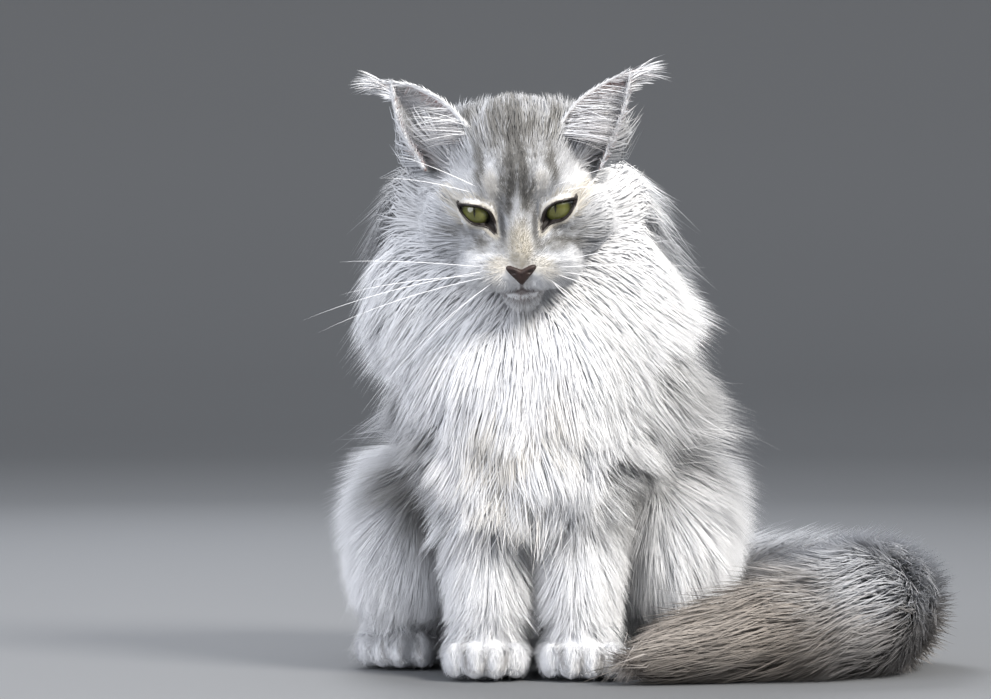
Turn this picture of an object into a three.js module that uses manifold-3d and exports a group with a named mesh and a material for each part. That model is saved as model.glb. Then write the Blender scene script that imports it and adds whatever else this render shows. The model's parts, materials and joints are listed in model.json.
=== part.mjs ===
// A Maine Coon cat, sitting, life size, as a still museum model.
// Millimetres, +Z up. The cat faces -Y, and +X is its own left, which is on the right as it is seen.
// Each part of the body is one closed solid: a core, which is the body with half of its coat,
// and the long coat on it as flat tapered locks, fused to that core.
import * as THREE from "three";
import { mergeVertices } from "three/addons/utils/BufferGeometryUtils.js";
import Module from "manifold-3d";

// Driving dimensions
const GAP = 0.3; // kept between any two parts
const FOLD_LIMIT = 0.78; // cosine of the sharpest bend in a lock
const HEAD_CENTRE = [0, 20, 324]; // between the roots of the ears and the eyes
const HEAD_PITCH = THREE.MathUtils.degToRad(20); // nose down
const HEAD_ROLL = THREE.MathUtils.degToRad(-3); // crown towards the cat's right
const EYE_SPACING = 54; // between the middles of the eyes
const EYE_RADIUS = 12.5;
const NOSE_WIDTH = 20; // of the bare leather
const FORELEG_X = { right: -21, left: 43 }; // middle of each front paw
const HINDPAW_X = { right: -80, left: 108 }; // middle of each hind paw
const THIGH = { right: [-56, 150, 88], left: [96, 150, 88] }; // middle of each thigh
const PAW_HEIGHT = 35;
const SIDES = ["right", "left"]; // the cat's own right and left
const OUTWARD = { right: -1, left: 1 };

const wasm = await Module();
wasm.setup();

const { lerp, clamp } = THREE.MathUtils;
const v3 = (x, y, z) => new THREE.Vector3(x, y, z);
const times = (count, make) => Array.from({ length: count }, (_, i) => make(i));
const bothSides = (make) => [make(-1), make(1)].flat();

// Body forms, each a function that gives the distance of a point outside the form

// A ball stretched to three radii.
function ball([cx, cy, cz], [rx, ry, rz]) {
  return (p) => {
    const [x, y, z] = [p.x - cx, p.y - cy, p.z - cz];
    const reach = Math.hypot(x / rx, y / ry, z / rz);
    const slope = Math.hypot(x / rx ** 2, y / ry ** 2, z / rz ** 2);
    return slope < 1e-9 ? -Math.min(rx, ry, rz) : (reach * (reach - 1)) / slope;
  };
}

// A round limb from one point to another, with a radius at each.
function limb(a, ra, b, rb) {
  const from = v3(...a);
  const along = v3(...b).sub(from);
  const square = along.lengthSq();
  return (p) => {
    const t = clamp(p.clone().sub(from).dot(along) / square, 0, 1);
    return p.distanceTo(from.clone().addScaledVector(along, t)) - lerp(ra, rb, t);
  };
}

// Several forms run together, with soft fillets between them.
function blend(forms, softness) {
  return (p) =>
    forms.reduce((least, form) => {
      const d = form(p);
      const near = Math.max(softness - Math.abs(least - d), 0) / softness;
      return Math.min(least, d) - (near * near * softness) / 4;
    }, 1e3);
}

// The outward direction of a form at a point.
function normalAt(field, p) {
  const e = 0.5;
  const slope = (x, y, z) =>
    field(v3(p.x + x, p.y + y, p.z + z)) - field(v3(p.x - x, p.y - y, p.z - z));
  return v3(slope(e, 0, 0), slope(0, e, 0), slope(0, 0, e)).normalize();
}

// Where a ray from inside a form meets its surface, grown by a margin.
function surfacePoint(field, from, ray, margin = 0) {
  let near = 0;
  let far = 0;
  for (let i = 0; i < 300; i++) {
    const d = field(from.clone().addScaledVector(ray, far)) - margin;
    if (d > 0) break;
    near = far;
    far += clamp(-d * 0.8, 0.4, 6);
  }
  for (let i = 0; i < 12; i++) {
    const middle = (near + far) / 2;
    if (field(from.clone().addScaledVector(ray, middle)) > margin) far = middle;
    else near = middle;
  }
  return from.clone().addScaledVector(ray, (near + far) / 2);
}

// The rays that leave a spine inside a form: station 0 to 1 runs from cap to cap, turn goes round it.
function spineOf(points, up = [0, 0, 1], cap = 0.22) {
  const curve = new THREE.CatmullRomCurve3(points.map((p) => v3(...p)));
  return (station, turn) => {
    const t = clamp((station - cap) / (1 - 2 * cap), 0, 1);
    const tangent = curve.getTangentAt(t);
    const side = v3().crossVectors(tangent, v3(...up)).normalize();
    const rise = v3().crossVectors(side, tangent);
    const lean = station < cap ? station / cap - 1 : Math.max(0, (station - 1) / cap + 1);
    const angle = (lean * Math.PI) / 2;
    const ray = side
      .multiplyScalar(Math.cos(turn))
      .addScaledVector(rise, Math.sin(turn))
      .multiplyScalar(Math.cos(angle))
      .addScaledVector(tangent, Math.sin(angle));
    return { from: curve.getPointAt(t), ray, tangent };
  };
}

function surface(positions, faces) {
  const made = new THREE.BufferGeometry();
  made.setAttribute("position", new THREE.Float32BufferAttribute(positions, 3));
  made.setIndex(faces);
  return made;
}

// Rings of equal length joined into a closed skin, with a point at each end.
function skin(first, rings, last) {
  const sides = rings[0].length;
  const points = [first, ...rings.flat(), last];
  const at = (i, j) => 1 + i * sides + (j % sides);
  const faces = [];
  for (let j = 0; j < sides; j++) {
    faces.push(0, at(0, j), at(0, j + 1));
    for (let i = 0; i < rings.length - 1; i++) {
      faces.push(at(i, j), at(i + 1, j), at(i + 1, j + 1));
      faces.push(at(i, j), at(i + 1, j + 1), at(i, j + 1));
    }
    faces.push(at(rings.length - 1, j), points.length - 1, at(rings.length - 1, j + 1));
  }
  return surface(points.flatMap((p) => p.toArray()), faces);
}

// The closed surface of a form, met by the rays of its spine.
function wrap(field, spine, rings, sides, margin = 0) {
  const met = (station, turn) => {
    const { from, ray } = spine(station, turn);
    return surfacePoint(field, from, ray, margin);
  };
  const ring = (i) => times(sides, (j) => met(i / rings, (2 * Math.PI * j) / sides));
  const middle = times(rings - 1, (i) => ring(i + 1));
  return skin(met(0, 0), middle, met(1, 0));
}

// Solids

// A closed geometry as a solid, with its faces turned outwards.
function solidOf(geometry) {
  const bare = geometry.clone();
  for (const name of Object.keys(bare.attributes)) {
    if (name !== "position") bare.deleteAttribute(name);
  }
  const merged = mergeVertices(bare, 1e-4);
  const vertProperties = merged.getAttribute("position").array;
  const triVerts = new Uint32Array(merged.index.array);
  const made = new wasm.Manifold(new wasm.Mesh({ numProp: 3, vertProperties, triVerts }));
  if (made.volume() > 0) return made;
  triVerts.reverse();
  return new wasm.Manifold(new wasm.Mesh({ numProp: 3, vertProperties, triVerts }));
}

const placed = (solid, frame) => solid.transform(frame.toArray());
const joined = (solids) => solids.reduce((a, b) => a.add(b));
const largest = (solid) => solid.decompose().reduce((a, b) => (b.volume() > a.volume() ? b : a));

const group = new THREE.Group();

function addPart(name, solid, material) {
  const mesh = solid.getMesh();
  const positions = [];
  for (let i = 0; i < mesh.numVert; i++) {
    positions.push(...mesh.vertProperties.slice(i * mesh.numProp, i * mesh.numProp + 3));
  }
  const made = new THREE.Mesh(surface(positions, Array.from(mesh.triVerts)), material);
  made.geometry.computeVertexNormals();
  made.name = name;
  group.add(made);
}

const coatMaterial = (color) => new THREE.MeshStandardMaterial({ color, roughness: 0.85, metalness: 0 });
const coatWhite = coatMaterial(0xf1f2f4);
const coatSilver = coatMaterial(0xb9babd);
const coatSmoke = coatMaterial(0x9a938d);
const noseLeather = new THREE.MeshStandardMaterial({ color: 0x5a3b38, roughness: 0.5, metalness: 0 });
const eyeGlass = new THREE.MeshStandardMaterial({ color: 0x7f8a3c, roughness: 0.05, metalness: 0 });

// Parts are settled nearest to the eye first, and each one is cut clear of those before it.
const floorBlock = solidOf(new THREE.BoxGeometry(2000, 2000, 400).translate(0, 0, -200));
let taken = floorBlock;

function settle(name, make, material, keepClear = () => make(GAP)) {
  const own = largest(make(0).subtract(taken));
  addPart(name, own, material);
  taken = taken.add(keepClear()).add(own);
}

// A lock as a flat ridged blade along four points, widest near its root, with a pointed tip.
function blade(points, ups, width, thick, margin, bend = (p) => p) {
  const step = (i) => points[i + 1].clone().sub(points[i]).normalize();
  const rings = [0.6, 1, 0.72].map((share, i) => {
    const along = points[i + 1].clone().sub(points[Math.max(i - 1, 0)]).normalize();
    const up = ups[i].clone().addScaledVector(along, -ups[i].dot(along)).normalize();
    const side = v3().crossVectors(along, up);
    const high = (thick * (i === 2 ? 0.6 : 1)) / 2;
    const at = (x, z) =>
      points[i].clone().addScaledVector(side, (x * share * width) / 2).addScaledVector(up, z * high);
    const [left, ridge, right] = [at(1, -0.7), at(0, 1), at(-1, -0.7)];
    const shifts = [left, ridge, right].map((p) => bend(p.clone()).sub(p));
    const shift = shifts.reduce((a, b) => (a.lengthSq() > b.lengthSq() ? a : b));
    if (i > 0) [left, ridge, right].forEach((p) => p.add(shift));
    if (margin === 0) return [left, ridge, right];
    const wider = left.clone().sub(right).setLength(2 * margin);
    const higher = up.clone().multiplyScalar(1.5 * margin);
    left.add(wider);
    right.sub(wider);
    const above = [left, ridge, right].map((p) => p.clone().add(higher));
    return [...above, right.sub(higher), left.sub(higher)];
  });
  const root = points[0].clone().addScaledVector(step(0), -2 * margin);
  return skin(root, rings, bend(points[3].clone()).addScaledVector(step(2), 12 * margin));
}

// Head

// The head's own frame: x to the cat's left, y back, z up, with the line of the eyes at z = 0
const headFrame = new THREE.Matrix4()
  .makeTranslation(...HEAD_CENTRE)
  .multiply(new THREE.Matrix4().makeRotationY(HEAD_ROLL))
  .multiply(new THREE.Matrix4().makeRotationX(HEAD_PITCH));
const headFrameBack = headFrame.clone().invert();

const headForm = blend(
  [
    ball([0, 20, 10], [48, 52, 44]), // cranium
    ball([0, -6, 16], [40, 28, 30]), // forehead
    limb([0, -22, 4], 15, [0, -55, -17], 10.5), // bridge of the nose
    ball([0, -34, -32], [26, 28, 20]), // muzzle
    ball([0, -50, -50], [15, 13, 10]), // chin
    ball([0, -12, -36], [36, 32, 24]), // jaw
    ...bothSides((s) => [
      ball([20 * s, -19, 15], [17, 16, 10]), // brow ridge
      ball([(EYE_SPACING / 2) * s, -26.5, 0], [14.6, 14.6, 14.2]), // lids
      limb([26 * s, -18, -12], 17, [14 * s, -42, -24], 13), // cheekbone
      ball([36 * s, -2, -16], [24, 32, 27]), // cheek
      ball([49 * s, 16, 24], [18, 17, 17]), // root of the ear
      ball([13 * s, -52, -33], [15, 14.5, 12.5]), // whisker pad
      ball([25 * s, -41, -33], [15, 16, 12.5]),
    ]),
  ],
  9,
);
const headAxis = v3(0, -0.9, -0.436).normalize();

// Rays from the middle of the head, closest together round the muzzle.
function headRay(station, turn) {
  const ray = v3(Math.cos(turn), headAxis.z * Math.sin(turn), -headAxis.y * Math.sin(turn));
  const angle = Math.PI * (1 - station) ** 1.25;
  ray.multiplyScalar(Math.sin(angle)).addScaledVector(headAxis, Math.cos(angle));
  return { from: v3(0, -10, -8), ray };
}

// The opening between the lids of the cat's left eye, seen from the front, from the outer corner.
const UPPER_LID = [[12.4, 8.2], [7, 8], [1.5, 7.2], [-4, 5.2], [-8.5, 2.2], [-11.5, -2.2], [-13, -8]];
const LOWER_LID = [[-12.6, -10.6], [-9.5, -8], [-5, -7.6], [0, -7.2], [5, -5.4], [9, -1.6], [11.5, 3.4]];
const EYE_OPENING = [...UPPER_LID, ...LOWER_LID];
const eyeCentre = (s) => v3((EYE_SPACING / 2) * s, -26.5, 0);
const openingPoint = (s, [x, z], radius) => {
  const y = -Math.sqrt(Math.max(radius * radius - x * x - z * z, 4));
  return eyeCentre(s).add(v3(x * s, y, z));
};

function eyeOpening(s) {
  const ring = (y) => EYE_OPENING.map(([x, z]) => eyeCentre(s).add(v3(x * s, y, z)));
  const cap = (y) => eyeCentre(s).add(v3(0, y, 0));
  return solidOf(skin(cap(-5), [ring(-5), ring(-40)], cap(-40)));
}

// A round cord along points, closed on itself or with pointed ends.
function cord(points, radius, sides, closed) {
  const count = points.length;
  const rings = points.map((p, i) => {
    const before = points[closed ? (i + count - 1) % count : Math.max(i - 1, 0)];
    const after = points[closed ? (i + 1) % count : Math.min(i + 1, count - 1)];
    const along = after.clone().sub(before).normalize();
    const side = v3().crossVectors(along, v3(0.1, 1, 0.05)).normalize();
    const rise = v3().crossVectors(side, along);
    return times(sides, (j) => {
      const turn = (2 * Math.PI * j) / sides;
      const out = side.clone().multiplyScalar(Math.cos(turn)).addScaledVector(rise, Math.sin(turn));
      return p.clone().addScaledVector(out, radius);
    });
  });
  if (!closed) return skin(points[0], rings, points[count - 1]);
  const faces = [];
  const at = (i, j) => (i % count) * sides + (j % sides);
  for (let i = 0; i < count; i++) {
    for (let j = 0; j < sides; j++) {
      faces.push(at(i, j), at(i + 1, j), at(i + 1, j + 1), at(i, j), at(i + 1, j + 1), at(i, j + 1));
    }
  }
  return surface(rings.flat().flatMap((p) => p.toArray()), faces);
}

// A ball round an eye, with its poles at the front and back.
function eyeball(s, radius, sides) {
  const made = new THREE.SphereGeometry(radius, sides, Math.round(sides * 0.7)).rotateX(Math.PI / 2);
  return placed(solidOf(made.translate(...eyeCentre(s).toArray())), headFrame);
}

// The line of the mouth: down from the nose, then out and up under each whisker pad
function onMuzzle(x, z) {
  const from = v3(x * 0.6, -20, z * 0.8);
  return surfacePoint(headForm, from, v3(x, -75, z).sub(from).normalize(), -0.2);
}
const PHILTRUM = [[0, -36], [0, -40], [0, -44]];
const LIPS = [[0, -43.5], [5, -46.5], [11, -48], [18, -47], [25, -43.5], [31, -39]];
const groove = (line, s, radius) => {
  const points = line.map(([x, z]) => onMuzzle(x * s, z));
  return solidOf(cord(points, radius, 4, false));
};

const noseForm = blend(
  [
    ...bothSides((s) => [ball([(NOSE_WIDTH / 2 - 5.2) * s, -62.5, -25.5], [5.4, 5.6, 4.2])]),
    ball([0, -63.5, -29.5], [4.4, 6, 5]),
  ],
  3,
);
const noseSpine = spineOf([[-3, -62, -26.5], [3, -62, -26.5]], [0, 0, 1], 0.4);

function makeNose(margin) {
  const leather = solidOf(wrap(noseForm, noseSpine, 10, 10, margin));
  if (margin > 0) return leather;
  const nostril = (s) => {
    const slit = [v3(5 * s, -69.5, -28), v3(7.2 * s, -67.5, -27.2), v3(9 * s, -65, -26)];
    return solidOf(cord(slit, 1.3, 6, false));
  };
  return leather.subtract(nostril(-1)).subtract(nostril(1));
}

// Long hair in front of and below the roots of the ears, and on the cheeks.
const SIDEBURNS = [
  [[44, 4, 26], [55, 4, 20], [63, 8, 14], [69, 14, 7]],
  [[50, 2, 14], [58, 1, 4], [64, 4, -5], [68, 9, -14]],
  [[48, -4, -4], [56, -5, -14], [61, -2, -23], [64, 4, -32]],
];
const sideburn = (line, s, margin) => {
  const points = line.map(([x, y, z]) => v3(x * s, y, z));
  return solidOf(blade(points, times(3, () => v3(s, -0.6, 0)), 24, 7, margin));
};
const sideburns = (margin) => joined(bothSides((s) => SIDEBURNS.map((line) => sideburn(line, s, margin))));

function makeHead() {
  let head = solidOf(wrap(headForm, headRay, 22, 26));
  for (const s of [-1, 1]) {
    const rim = EYE_OPENING.map((at) => openingPoint(s, at, EYE_RADIUS + 1.5));
    head = head.subtract(eyeOpening(s)).add(solidOf(cord(rim, 1.5, 4, true)));
    head = head.subtract(groove(LIPS, s, 1.1));
  }
  return head.subtract(groove(PHILTRUM, 1, 0.9)).add(sideburns(0));
}

for (const side of SIDES) {
  const s = OUTWARD[side];
  const socket = () => eyeball(s, EYE_RADIUS + 2.5 * GAP, 11);
  settle("eye_" + side, () => eyeball(s, EYE_RADIUS, 14), eyeGlass, socket);
}
settle("nose", (margin) => placed(makeNose(margin), headFrame), noseLeather);
const headClear = () => solidOf(wrap(headForm, headRay, 22, 26, 2 * GAP)).add(sideburns(GAP));
settle("head", () => placed(makeHead(), headFrame), coatSilver, () => placed(headClear(), headFrame));

// Long coat

// The same random numbers each time.
function seeded(seed) {
  let state = seed;
  return () => {
    state = (state * 1664525 + 1013904223) % 4294967296;
    return state / 4294967296;
  };
}

// One lock of coat: it leaves a form at its root, follows the lie, and lifts to its tip.
function lock(root, { over, lie, clear = [] }, { length, width, thick, lift }, sway, margin) {
  const reach = [0, 0.3, 0.66, 1];
  const heights = [-4, lift * 0.4, lift * 0.78, lift];
  const points = [];
  const ups = [];
  let p = root.clone();
  reach.forEach((at, i) => {
    if (i > 0) {
      const normal = normalAt(over, p);
      const along = lie(p);
      along.addScaledVector(normal, -along.dot(normal) * 0.8).normalize();
      along.applyAxisAngle(normal, sway * at);
      p = p.clone().addScaledVector(along, (at - reach[i - 1]) * length);
    }
    const short = heights[i] - over(p);
    p = p.clone().addScaledVector(normalAt(over, p), short > 0 ? short : short * 0.4);
    points.push(p);
    ups.push(normalAt(over, p));
  });
  // A lock that would fold over itself, in a hollow of the body, isn't there.
  const steps = times(3, (i) => points[i + 1].clone().sub(points[i]).normalize());
  const bends = times(2, (i) => Math.min(ups[i].dot(ups[i + 1]), steps[i].dot(steps[i + 1])));
  if (Math.min(...bends) < FOLD_LIMIT) return [];
  // Bent clear of the other parts of the body, and of the floor.
  const bend = (q) => {
    for (const other of clear) {
      const short = 2.5 - other(q);
      if (short > 0) q = q.clone().addScaledVector(normalAt(other, q), short);
    }
    return q.z < 1.5 ? q.clone().setZ(1.5) : q;
  };
  return [solidOf(blade(points, ups, width, thick, margin, bend))];
}

// Rows of locks over a form, rooted where the rays of its spine meet it.
function coat(field, spine, one, margin) {
  const { from, to, rows, across, size, seed, keep } = one;
  const random = seeded(seed);
  const locks = [];
  for (let i = 0; i < rows; i++) {
    for (let j = 0; j < across; j++) {
      const station = lerp(from, to, (i + 0.4 * (random() - 0.5)) / Math.max(rows - 1, 1));
      const turn = (2 * Math.PI * (j + (i % 2) / 2 + (random() - 0.5) * 0.3)) / across;
      const [scale, sway] = [0.88 + 0.24 * random(), (random() - 0.5) * 0.5];
      const { from: inside, ray } = spine(clamp(station, 0.02, 0.98), turn);
      const root = surfacePoint(field, inside, ray, -1);
      if (!keep(root)) continue;
      const own = { ...size(root) };
      own.length *= scale;
      locks.push(...lock(root, one, own, sway, margin));
    }
  }
  return locks;
}

// A part of the body with its long coat.
function coated({ form, spine, rings, sides, locks, cut = [] }) {
  return (margin) => {
    const whole = solidOf(wrap(form, spine, rings, sides, margin));
    const core = cut.reduce((left, side) => left.intersect(side), whole);
    return joined([core, ...coat(form, spine, locks, margin)]);
  };
}

// Ears

// The ear is a cupped sheet: across runs from its inner rim round the back to its outer rim.
const EARS = {
  right: {
    inner: [[-31, 14, 367], [-48, 20, 386], [-68, 27, 398], [-82, 30, 401]],
    outer: [[-66, 14, 352], [-76, 18, 369], [-81, 24, 386], [-83, 30, 400]],
  },
  left: {
    inner: [[27, 14, 371], [40, 20, 389], [58, 27, 402], [74, 30, 410]],
    outer: [[60, 14, 354], [68, 18, 373], [74, 24, 391], [76.5, 30, 409]],
  },
};
const EAR_DEPTH = 26; // front to back of the cup at its root
const EAR_SHEET = 3;

function makeEar(side, margin) {
  const { inner, outer } = EARS[side];
  const innerRim = new THREE.CatmullRomCurve3(inner.map((p) => v3(...p)));
  const outerRim = new THREE.CatmullRomCurve3(outer.map((p) => v3(...p)));
  const [steps, columns] = [7, 8];
  const at = (u, v, inset) => {
    const t = lerp(-0.16, 1, v);
    const below = Math.min(t, 0) * 60;
    const onRim = (rim) => rim.getPointAt(Math.max(t, 0)).addScaledVector(rim.getTangentAt(0), below);
    const [a, b] = [onRim(innerRim), onRim(outerRim)];
    const across = (1 - Math.cos(Math.PI * u)) / 2;
    const bulge = Math.sin(Math.PI * u) ** 0.8;
    const depth = (EAR_DEPTH * (1 - Math.max(t, 0)) ** 0.75 + 2) * bulge;
    const sheet = EAR_SHEET * (0.45 + 0.55 * bulge) * (1 - 0.45 * v);
    const back = v3(0, 0.97, -0.2);
    const width = b.distanceTo(a);
    const aside = Math.cos(Math.PI * u) * (inset ? sheet * (width / (width + 1)) - margin : -margin);
    const p = a.clone().lerp(b, across).addScaledVector(back, depth);
    p.addScaledVector(back, inset ? -sheet * (0.3 + bulge) - margin : margin);
    return p.addScaledVector(b.clone().sub(a).normalize(), aside);
  };
  const rings = times(steps + 1, (i) => {
    const v = (i / steps) * 0.97;
    const back = times(columns + 1, (j) => at(j / columns, v, false));
    const front = times(columns + 1, (j) => at(1 - j / columns, v, true));
    return [...back, ...front];
  });
  const base = rings[0].reduce((sum, p) => sum.add(p), v3()).multiplyScalar(1 / rings[0].length);
  const tip = v3(...inner[3]).lerp(v3(...outer[3]), 0.5).add(v3(0, 1, 1.5 + margin));
  return solidOf(skin(base, rings, tip));
}

// The tuft at the tip of an ear: blades that rise with it and bend outwards.
const EAR_TUFTS = {
  right: [
    [[-74, 30, 394], [-84, 31, 404], [-96, 32, 409], [-106, 33, 408]],
    [[-66, 28, 393], [-78, 29, 406], [-88, 30, 413], [-99, 31, 415]],
    [[-76, 27, 389], [-84, 26, 395], [-92, 26, 396], [-99, 26, 392]],
  ],
  left: [
    [[68, 30, 401], [75, 31, 412], [83, 32, 417], [91, 33, 416]],
    [[60, 28, 400], [67, 29, 411], [73, 30, 418], [81, 31, 421]],
    [[70, 27, 396], [76, 26, 404], [84, 26, 408], [91, 26, 404]],
  ],
};
// Long hairs that cross the cup from its inner rim.
const EAR_FRINGE = {
  right: [
    [[-36, 18, 366], [-48, 13, 370], [-62, 9, 372], [-76, 8, 370]],
    [[-44, 20, 378], [-54, 15, 382], [-66, 11, 384], [-80, 11, 382]],
  ],
  left: [
    [[30, 18, 370], [41, 13, 374], [54, 9, 376], [67, 8, 374]],
    [[38, 20, 383], [48, 15, 387], [59, 11, 389], [71, 11, 387]],
  ],
};

function earWithTufts(side, margin) {
  const strand = (width, thick) => (line) => {
    const points = line.map((p) => v3(...p));
    return solidOf(blade(points, times(3, () => v3(0, -1, 0.2)), width, thick, margin));
  };
  const tufts = EAR_TUFTS[side].map(strand(9, 3));
  return joined([makeEar(side, margin), ...tufts, ...EAR_FRINGE[side].map(strand(8, 2))]);
}

for (const side of SIDES) settle("ear_" + side, (margin) => earWithTufts(side, margin), coatSilver);

// The body's forms, without the long coat's outer half

const headInPlace = (p) => headForm(p.clone().applyMatrix4(headFrameBack));

const ruffForm = blend(
  [
    ball([2, 76, 316], [76, 44, 50]), // behind the cheeks
    ball([3, 66, 268], [87, 58, 66]), // round the throat
    limb([0, 72, 316], 42, [10, 112, 252], 60), // nape
    ball([8, 44, 205], [68, 46, 76]), // chest
  ],
  25,
);

function forelegForm(side) {
  const [x, s] = [FORELEG_X[side], OUTWARD[side]];
  const [elbow, knee] = [[x + 5 * s, 58, 136], [x + s, 36, 72]];
  return blend([limb(elbow, 30, knee, 22), limb(knee, 22, [x, 29, 36], 20)], 12);
}

const torsoForm = blend(
  [
    limb([14, 94, 236], 62, [26, 162, 135], 84), // ribs and back
    ball([24, 178, 80], [88, 72, 80]), // rump
    ball([64, 120, 165], [46, 52, 66]), // left flank
    ball([-36, 84, 190], [36, 44, 58]), // shoulders
    ball([62, 84, 190], [36, 44, 58]),
  ],
  25,
);

function hindlegForm(side) {
  const [x, s] = [HINDPAW_X[side], OUTWARD[side]];
  const [tx, ty, tz] = THIGH[side];
  return blend(
    [
      ball([tx, ty, tz], [58, 78, 80]), // thigh
      ball([lerp(tx, x, 0.6), 94, 88], [34, 40, 50]), // knee
      limb([lerp(tx, x, 0.8), 90, 70], 33, [x, 128, 30], 24), // shank
      limb([x - 4 * s, 190, 18], 17, [x, 130, 20], 18), // foot
    ],
    18,
  );
}

const forelegs = { right: forelegForm("right"), left: forelegForm("left") };
const hindlegs = { right: hindlegForm("right"), left: hindlegForm("left") };
const wholeBody = blend([ruffForm, torsoForm, ...Object.values(forelegs), ...Object.values(hindlegs)], 10);

// Neck and chest

// The ruff spreads from the face: outwards beside it, down over the chest, back over the nape.
function ruffLie(p) {
  const high = clamp((p.z - 220) / 140, 0, 1);
  const behind = clamp((p.y - 70) / 50, 0, 1);
  const down = -1 + 0.85 * high * (1 - behind);
  return v3((p.x / 70) * (0.2 + high), 0.1 + 0.3 * high + 0.6 * behind, down).normalize();
}
const ruffSpine = spineOf([[2, 66, 318], [4, 62, 262], [8, 48, 195]], [0, -1, 0], 0.25);
const ruffCoat = {
  over: wholeBody,
  from: 0.17,
  to: 0.86,
  rows: 5,
  across: 12,
  seed: 11,
  lie: ruffLie,
  clear: [headInPlace],
  keep: (p) => headInPlace(p) > 2 && torsoForm(p) > -14,
  size: (p) => ({ length: p.z > 300 ? 60 : 76, width: 38, thick: 9, lift: p.y < 20 ? 18 : 24 }),
};
const ruff = { form: ruffForm, spine: ruffSpine, rings: 12, sides: 16, locks: ruffCoat };
settle("ruff", coated(ruff), coatWhite);

// Front legs

function pawForm(x, y, turn, spread) {
  const [c, s] = [Math.cos(turn), Math.sin(turn)];
  const put = (px, py) => [x + px * c - py * s, y + px * s + py * c];
  const toe = (i) => ball([...put(i * spread, -20 + 3.2 * i * i), 13.5], [9.8, 15, 15.5]);
  const pad = ball([...put(0, 8), PAW_HEIGHT / 2 - 2], [26, 30, PAW_HEIGHT / 2 + 3]);
  return blend([pad, ...[-1.5, -0.5, 0.5, 1.5].map(toe)], 5);
}

function paw(x, y, turn, spread) {
  const form = pawForm(x, y, turn, spread);
  const spine = spineOf([[x, y + 4, 13], [x, y - 8, 13]], [0, 0, 1], 0.42);
  return (margin) => solidOf(wrap(form, spine, 12, 18, margin));
}

for (const side of SIDES) {
  const [x, s] = [FORELEG_X[side], OUTWARD[side]];
  const spine = spineOf([[x + 5 * s, 56, 138], [x + s, 40, 88], [x, 30, 38]], [0, -1, 0], 0.25);
  const feathers = {
    over: forelegs[side],
    from: 0.44,
    to: 0.64,
    rows: 2,
    across: 3,
    seed: 23,
    lie: () => v3(0.15 * s, 0.3, -1).normalize(),
    keep: (p) => (p.x - x) * s > -12,
    size: () => ({ length: 42, width: 24, thick: 6, lift: 5 }),
  };
  const leg = { form: forelegs[side], spine, rings: 10, sides: 11, locks: feathers };
  settle("foreleg_" + side, coated(leg), coatWhite);
  settle("forepaw_" + side, paw(x, 24, 0, 13.5), coatWhite);
}

// Body

const torsoSpine = spineOf([[14, 100, 215], [22, 145, 150], [24, 175, 85]], [0, 1, 0], 0.25);
const torsoCoat = {
  over: wholeBody,
  from: 0.34,
  to: 0.84,
  rows: 4,
  across: 12,
  seed: 31,
  lie: (p) => v3((p.x - 24) / 260, 0.5, -1).normalize(),
  clear: [ruffForm],
  keep: (p) =>
    p.y > 95 && ruffForm(p) > 10 && p.z > 40 && Math.min(hindlegs.left(p), hindlegs.right(p)) > 6,
  size: () => ({ length: 66, width: 38, thick: 7, lift: 12 }),
};
const torso = { form: torsoForm, spine: torsoSpine, rings: 12, sides: 17, locks: torsoCoat };
settle("torso", coated(torso), coatSilver);

// Hind legs

for (const side of SIDES) {
  const [x, s] = [HINDPAW_X[side], OUTWARD[side]];
  const tx = THIGH[side][0];
  const line = [[tx + 4 * s, 168, 80], [lerp(tx, x, 0.4), 128, 76], [lerp(tx, x, 0.7), 98, 72]];
  const breeches = {
    over: hindlegs[side],
    from: 0.16,
    to: 0.74,
    rows: 4,
    across: 6,
    seed: 43,
    lie: (p) => v3(0.25 * s, p.y > 170 ? 0.4 : -0.05, -1).normalize(),
    clear: [torsoForm],
    keep: (p) => torsoForm(p) > 12 && p.z > 48 && (p.x - tx) * s > -16,
    size: (p) => ({ length: p.z < 80 ? 42 : 60, width: 36, thick: 7, lift: 12 }),
  };
  const spine = spineOf(line, [0, 0, 1], 0.3);
  const leg = { form: hindlegs[side], spine, rings: 11, sides: 14, locks: breeches };
  settle("hindleg_" + side, coated(leg), coatWhite);
  settle("hindpaw_" + side, paw(x, 112, 0.2 * s, 12.5), coatWhite);
}

// Tail, laid on the floor round the cat's left side

const TAIL_BACK = [[62, 236, 36], [116, 242, 38], [174, 228, 40], [222, 186, 42]];
const TAIL_FRONT = [[250, 122, 43], [226, 60, 40], [168, 18, 33], [104, -8, 24]];
const TAIL_PATH = [...TAIL_BACK, ...TAIL_FRONT];
const TAIL_CORE = [24, 26, 27, 28, 28, 27, 22, 12]; // radius at each of those points
const TAIL_CUTS = [0.36, 0.68]; // where its three lengths meet, along it
const tailPiece = (i) => limb(TAIL_PATH[i], TAIL_CORE[i], TAIL_PATH[i + 1], TAIL_CORE[i + 1]);
const tailForm = blend(times(TAIL_PATH.length - 1, tailPiece), 8);
const tailCurve = new THREE.CatmullRomCurve3(TAIL_PATH.map((p) => v3(...p)));
const tailSpine = spineOf(TAIL_PATH, [0, 0, 1], 0.07);
const tailPoints = tailCurve.getSpacedPoints(40);

// Everything beyond a cut across the tail, or before it.
function tailSide(t, beyond) {
  const along = tailCurve.getTangentAt(t).setZ(0).normalize().multiplyScalar(beyond ? 1 : -1);
  const turned = new THREE.Matrix4().makeRotationZ(Math.atan2(along.y, along.x));
  const block = new THREE.BoxGeometry(600, 600, 600).translate(300 + GAP / 2, 0, 0).applyMatrix4(turned);
  return solidOf(block.translate(...tailCurve.getPointAt(t).toArray()));
}

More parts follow.
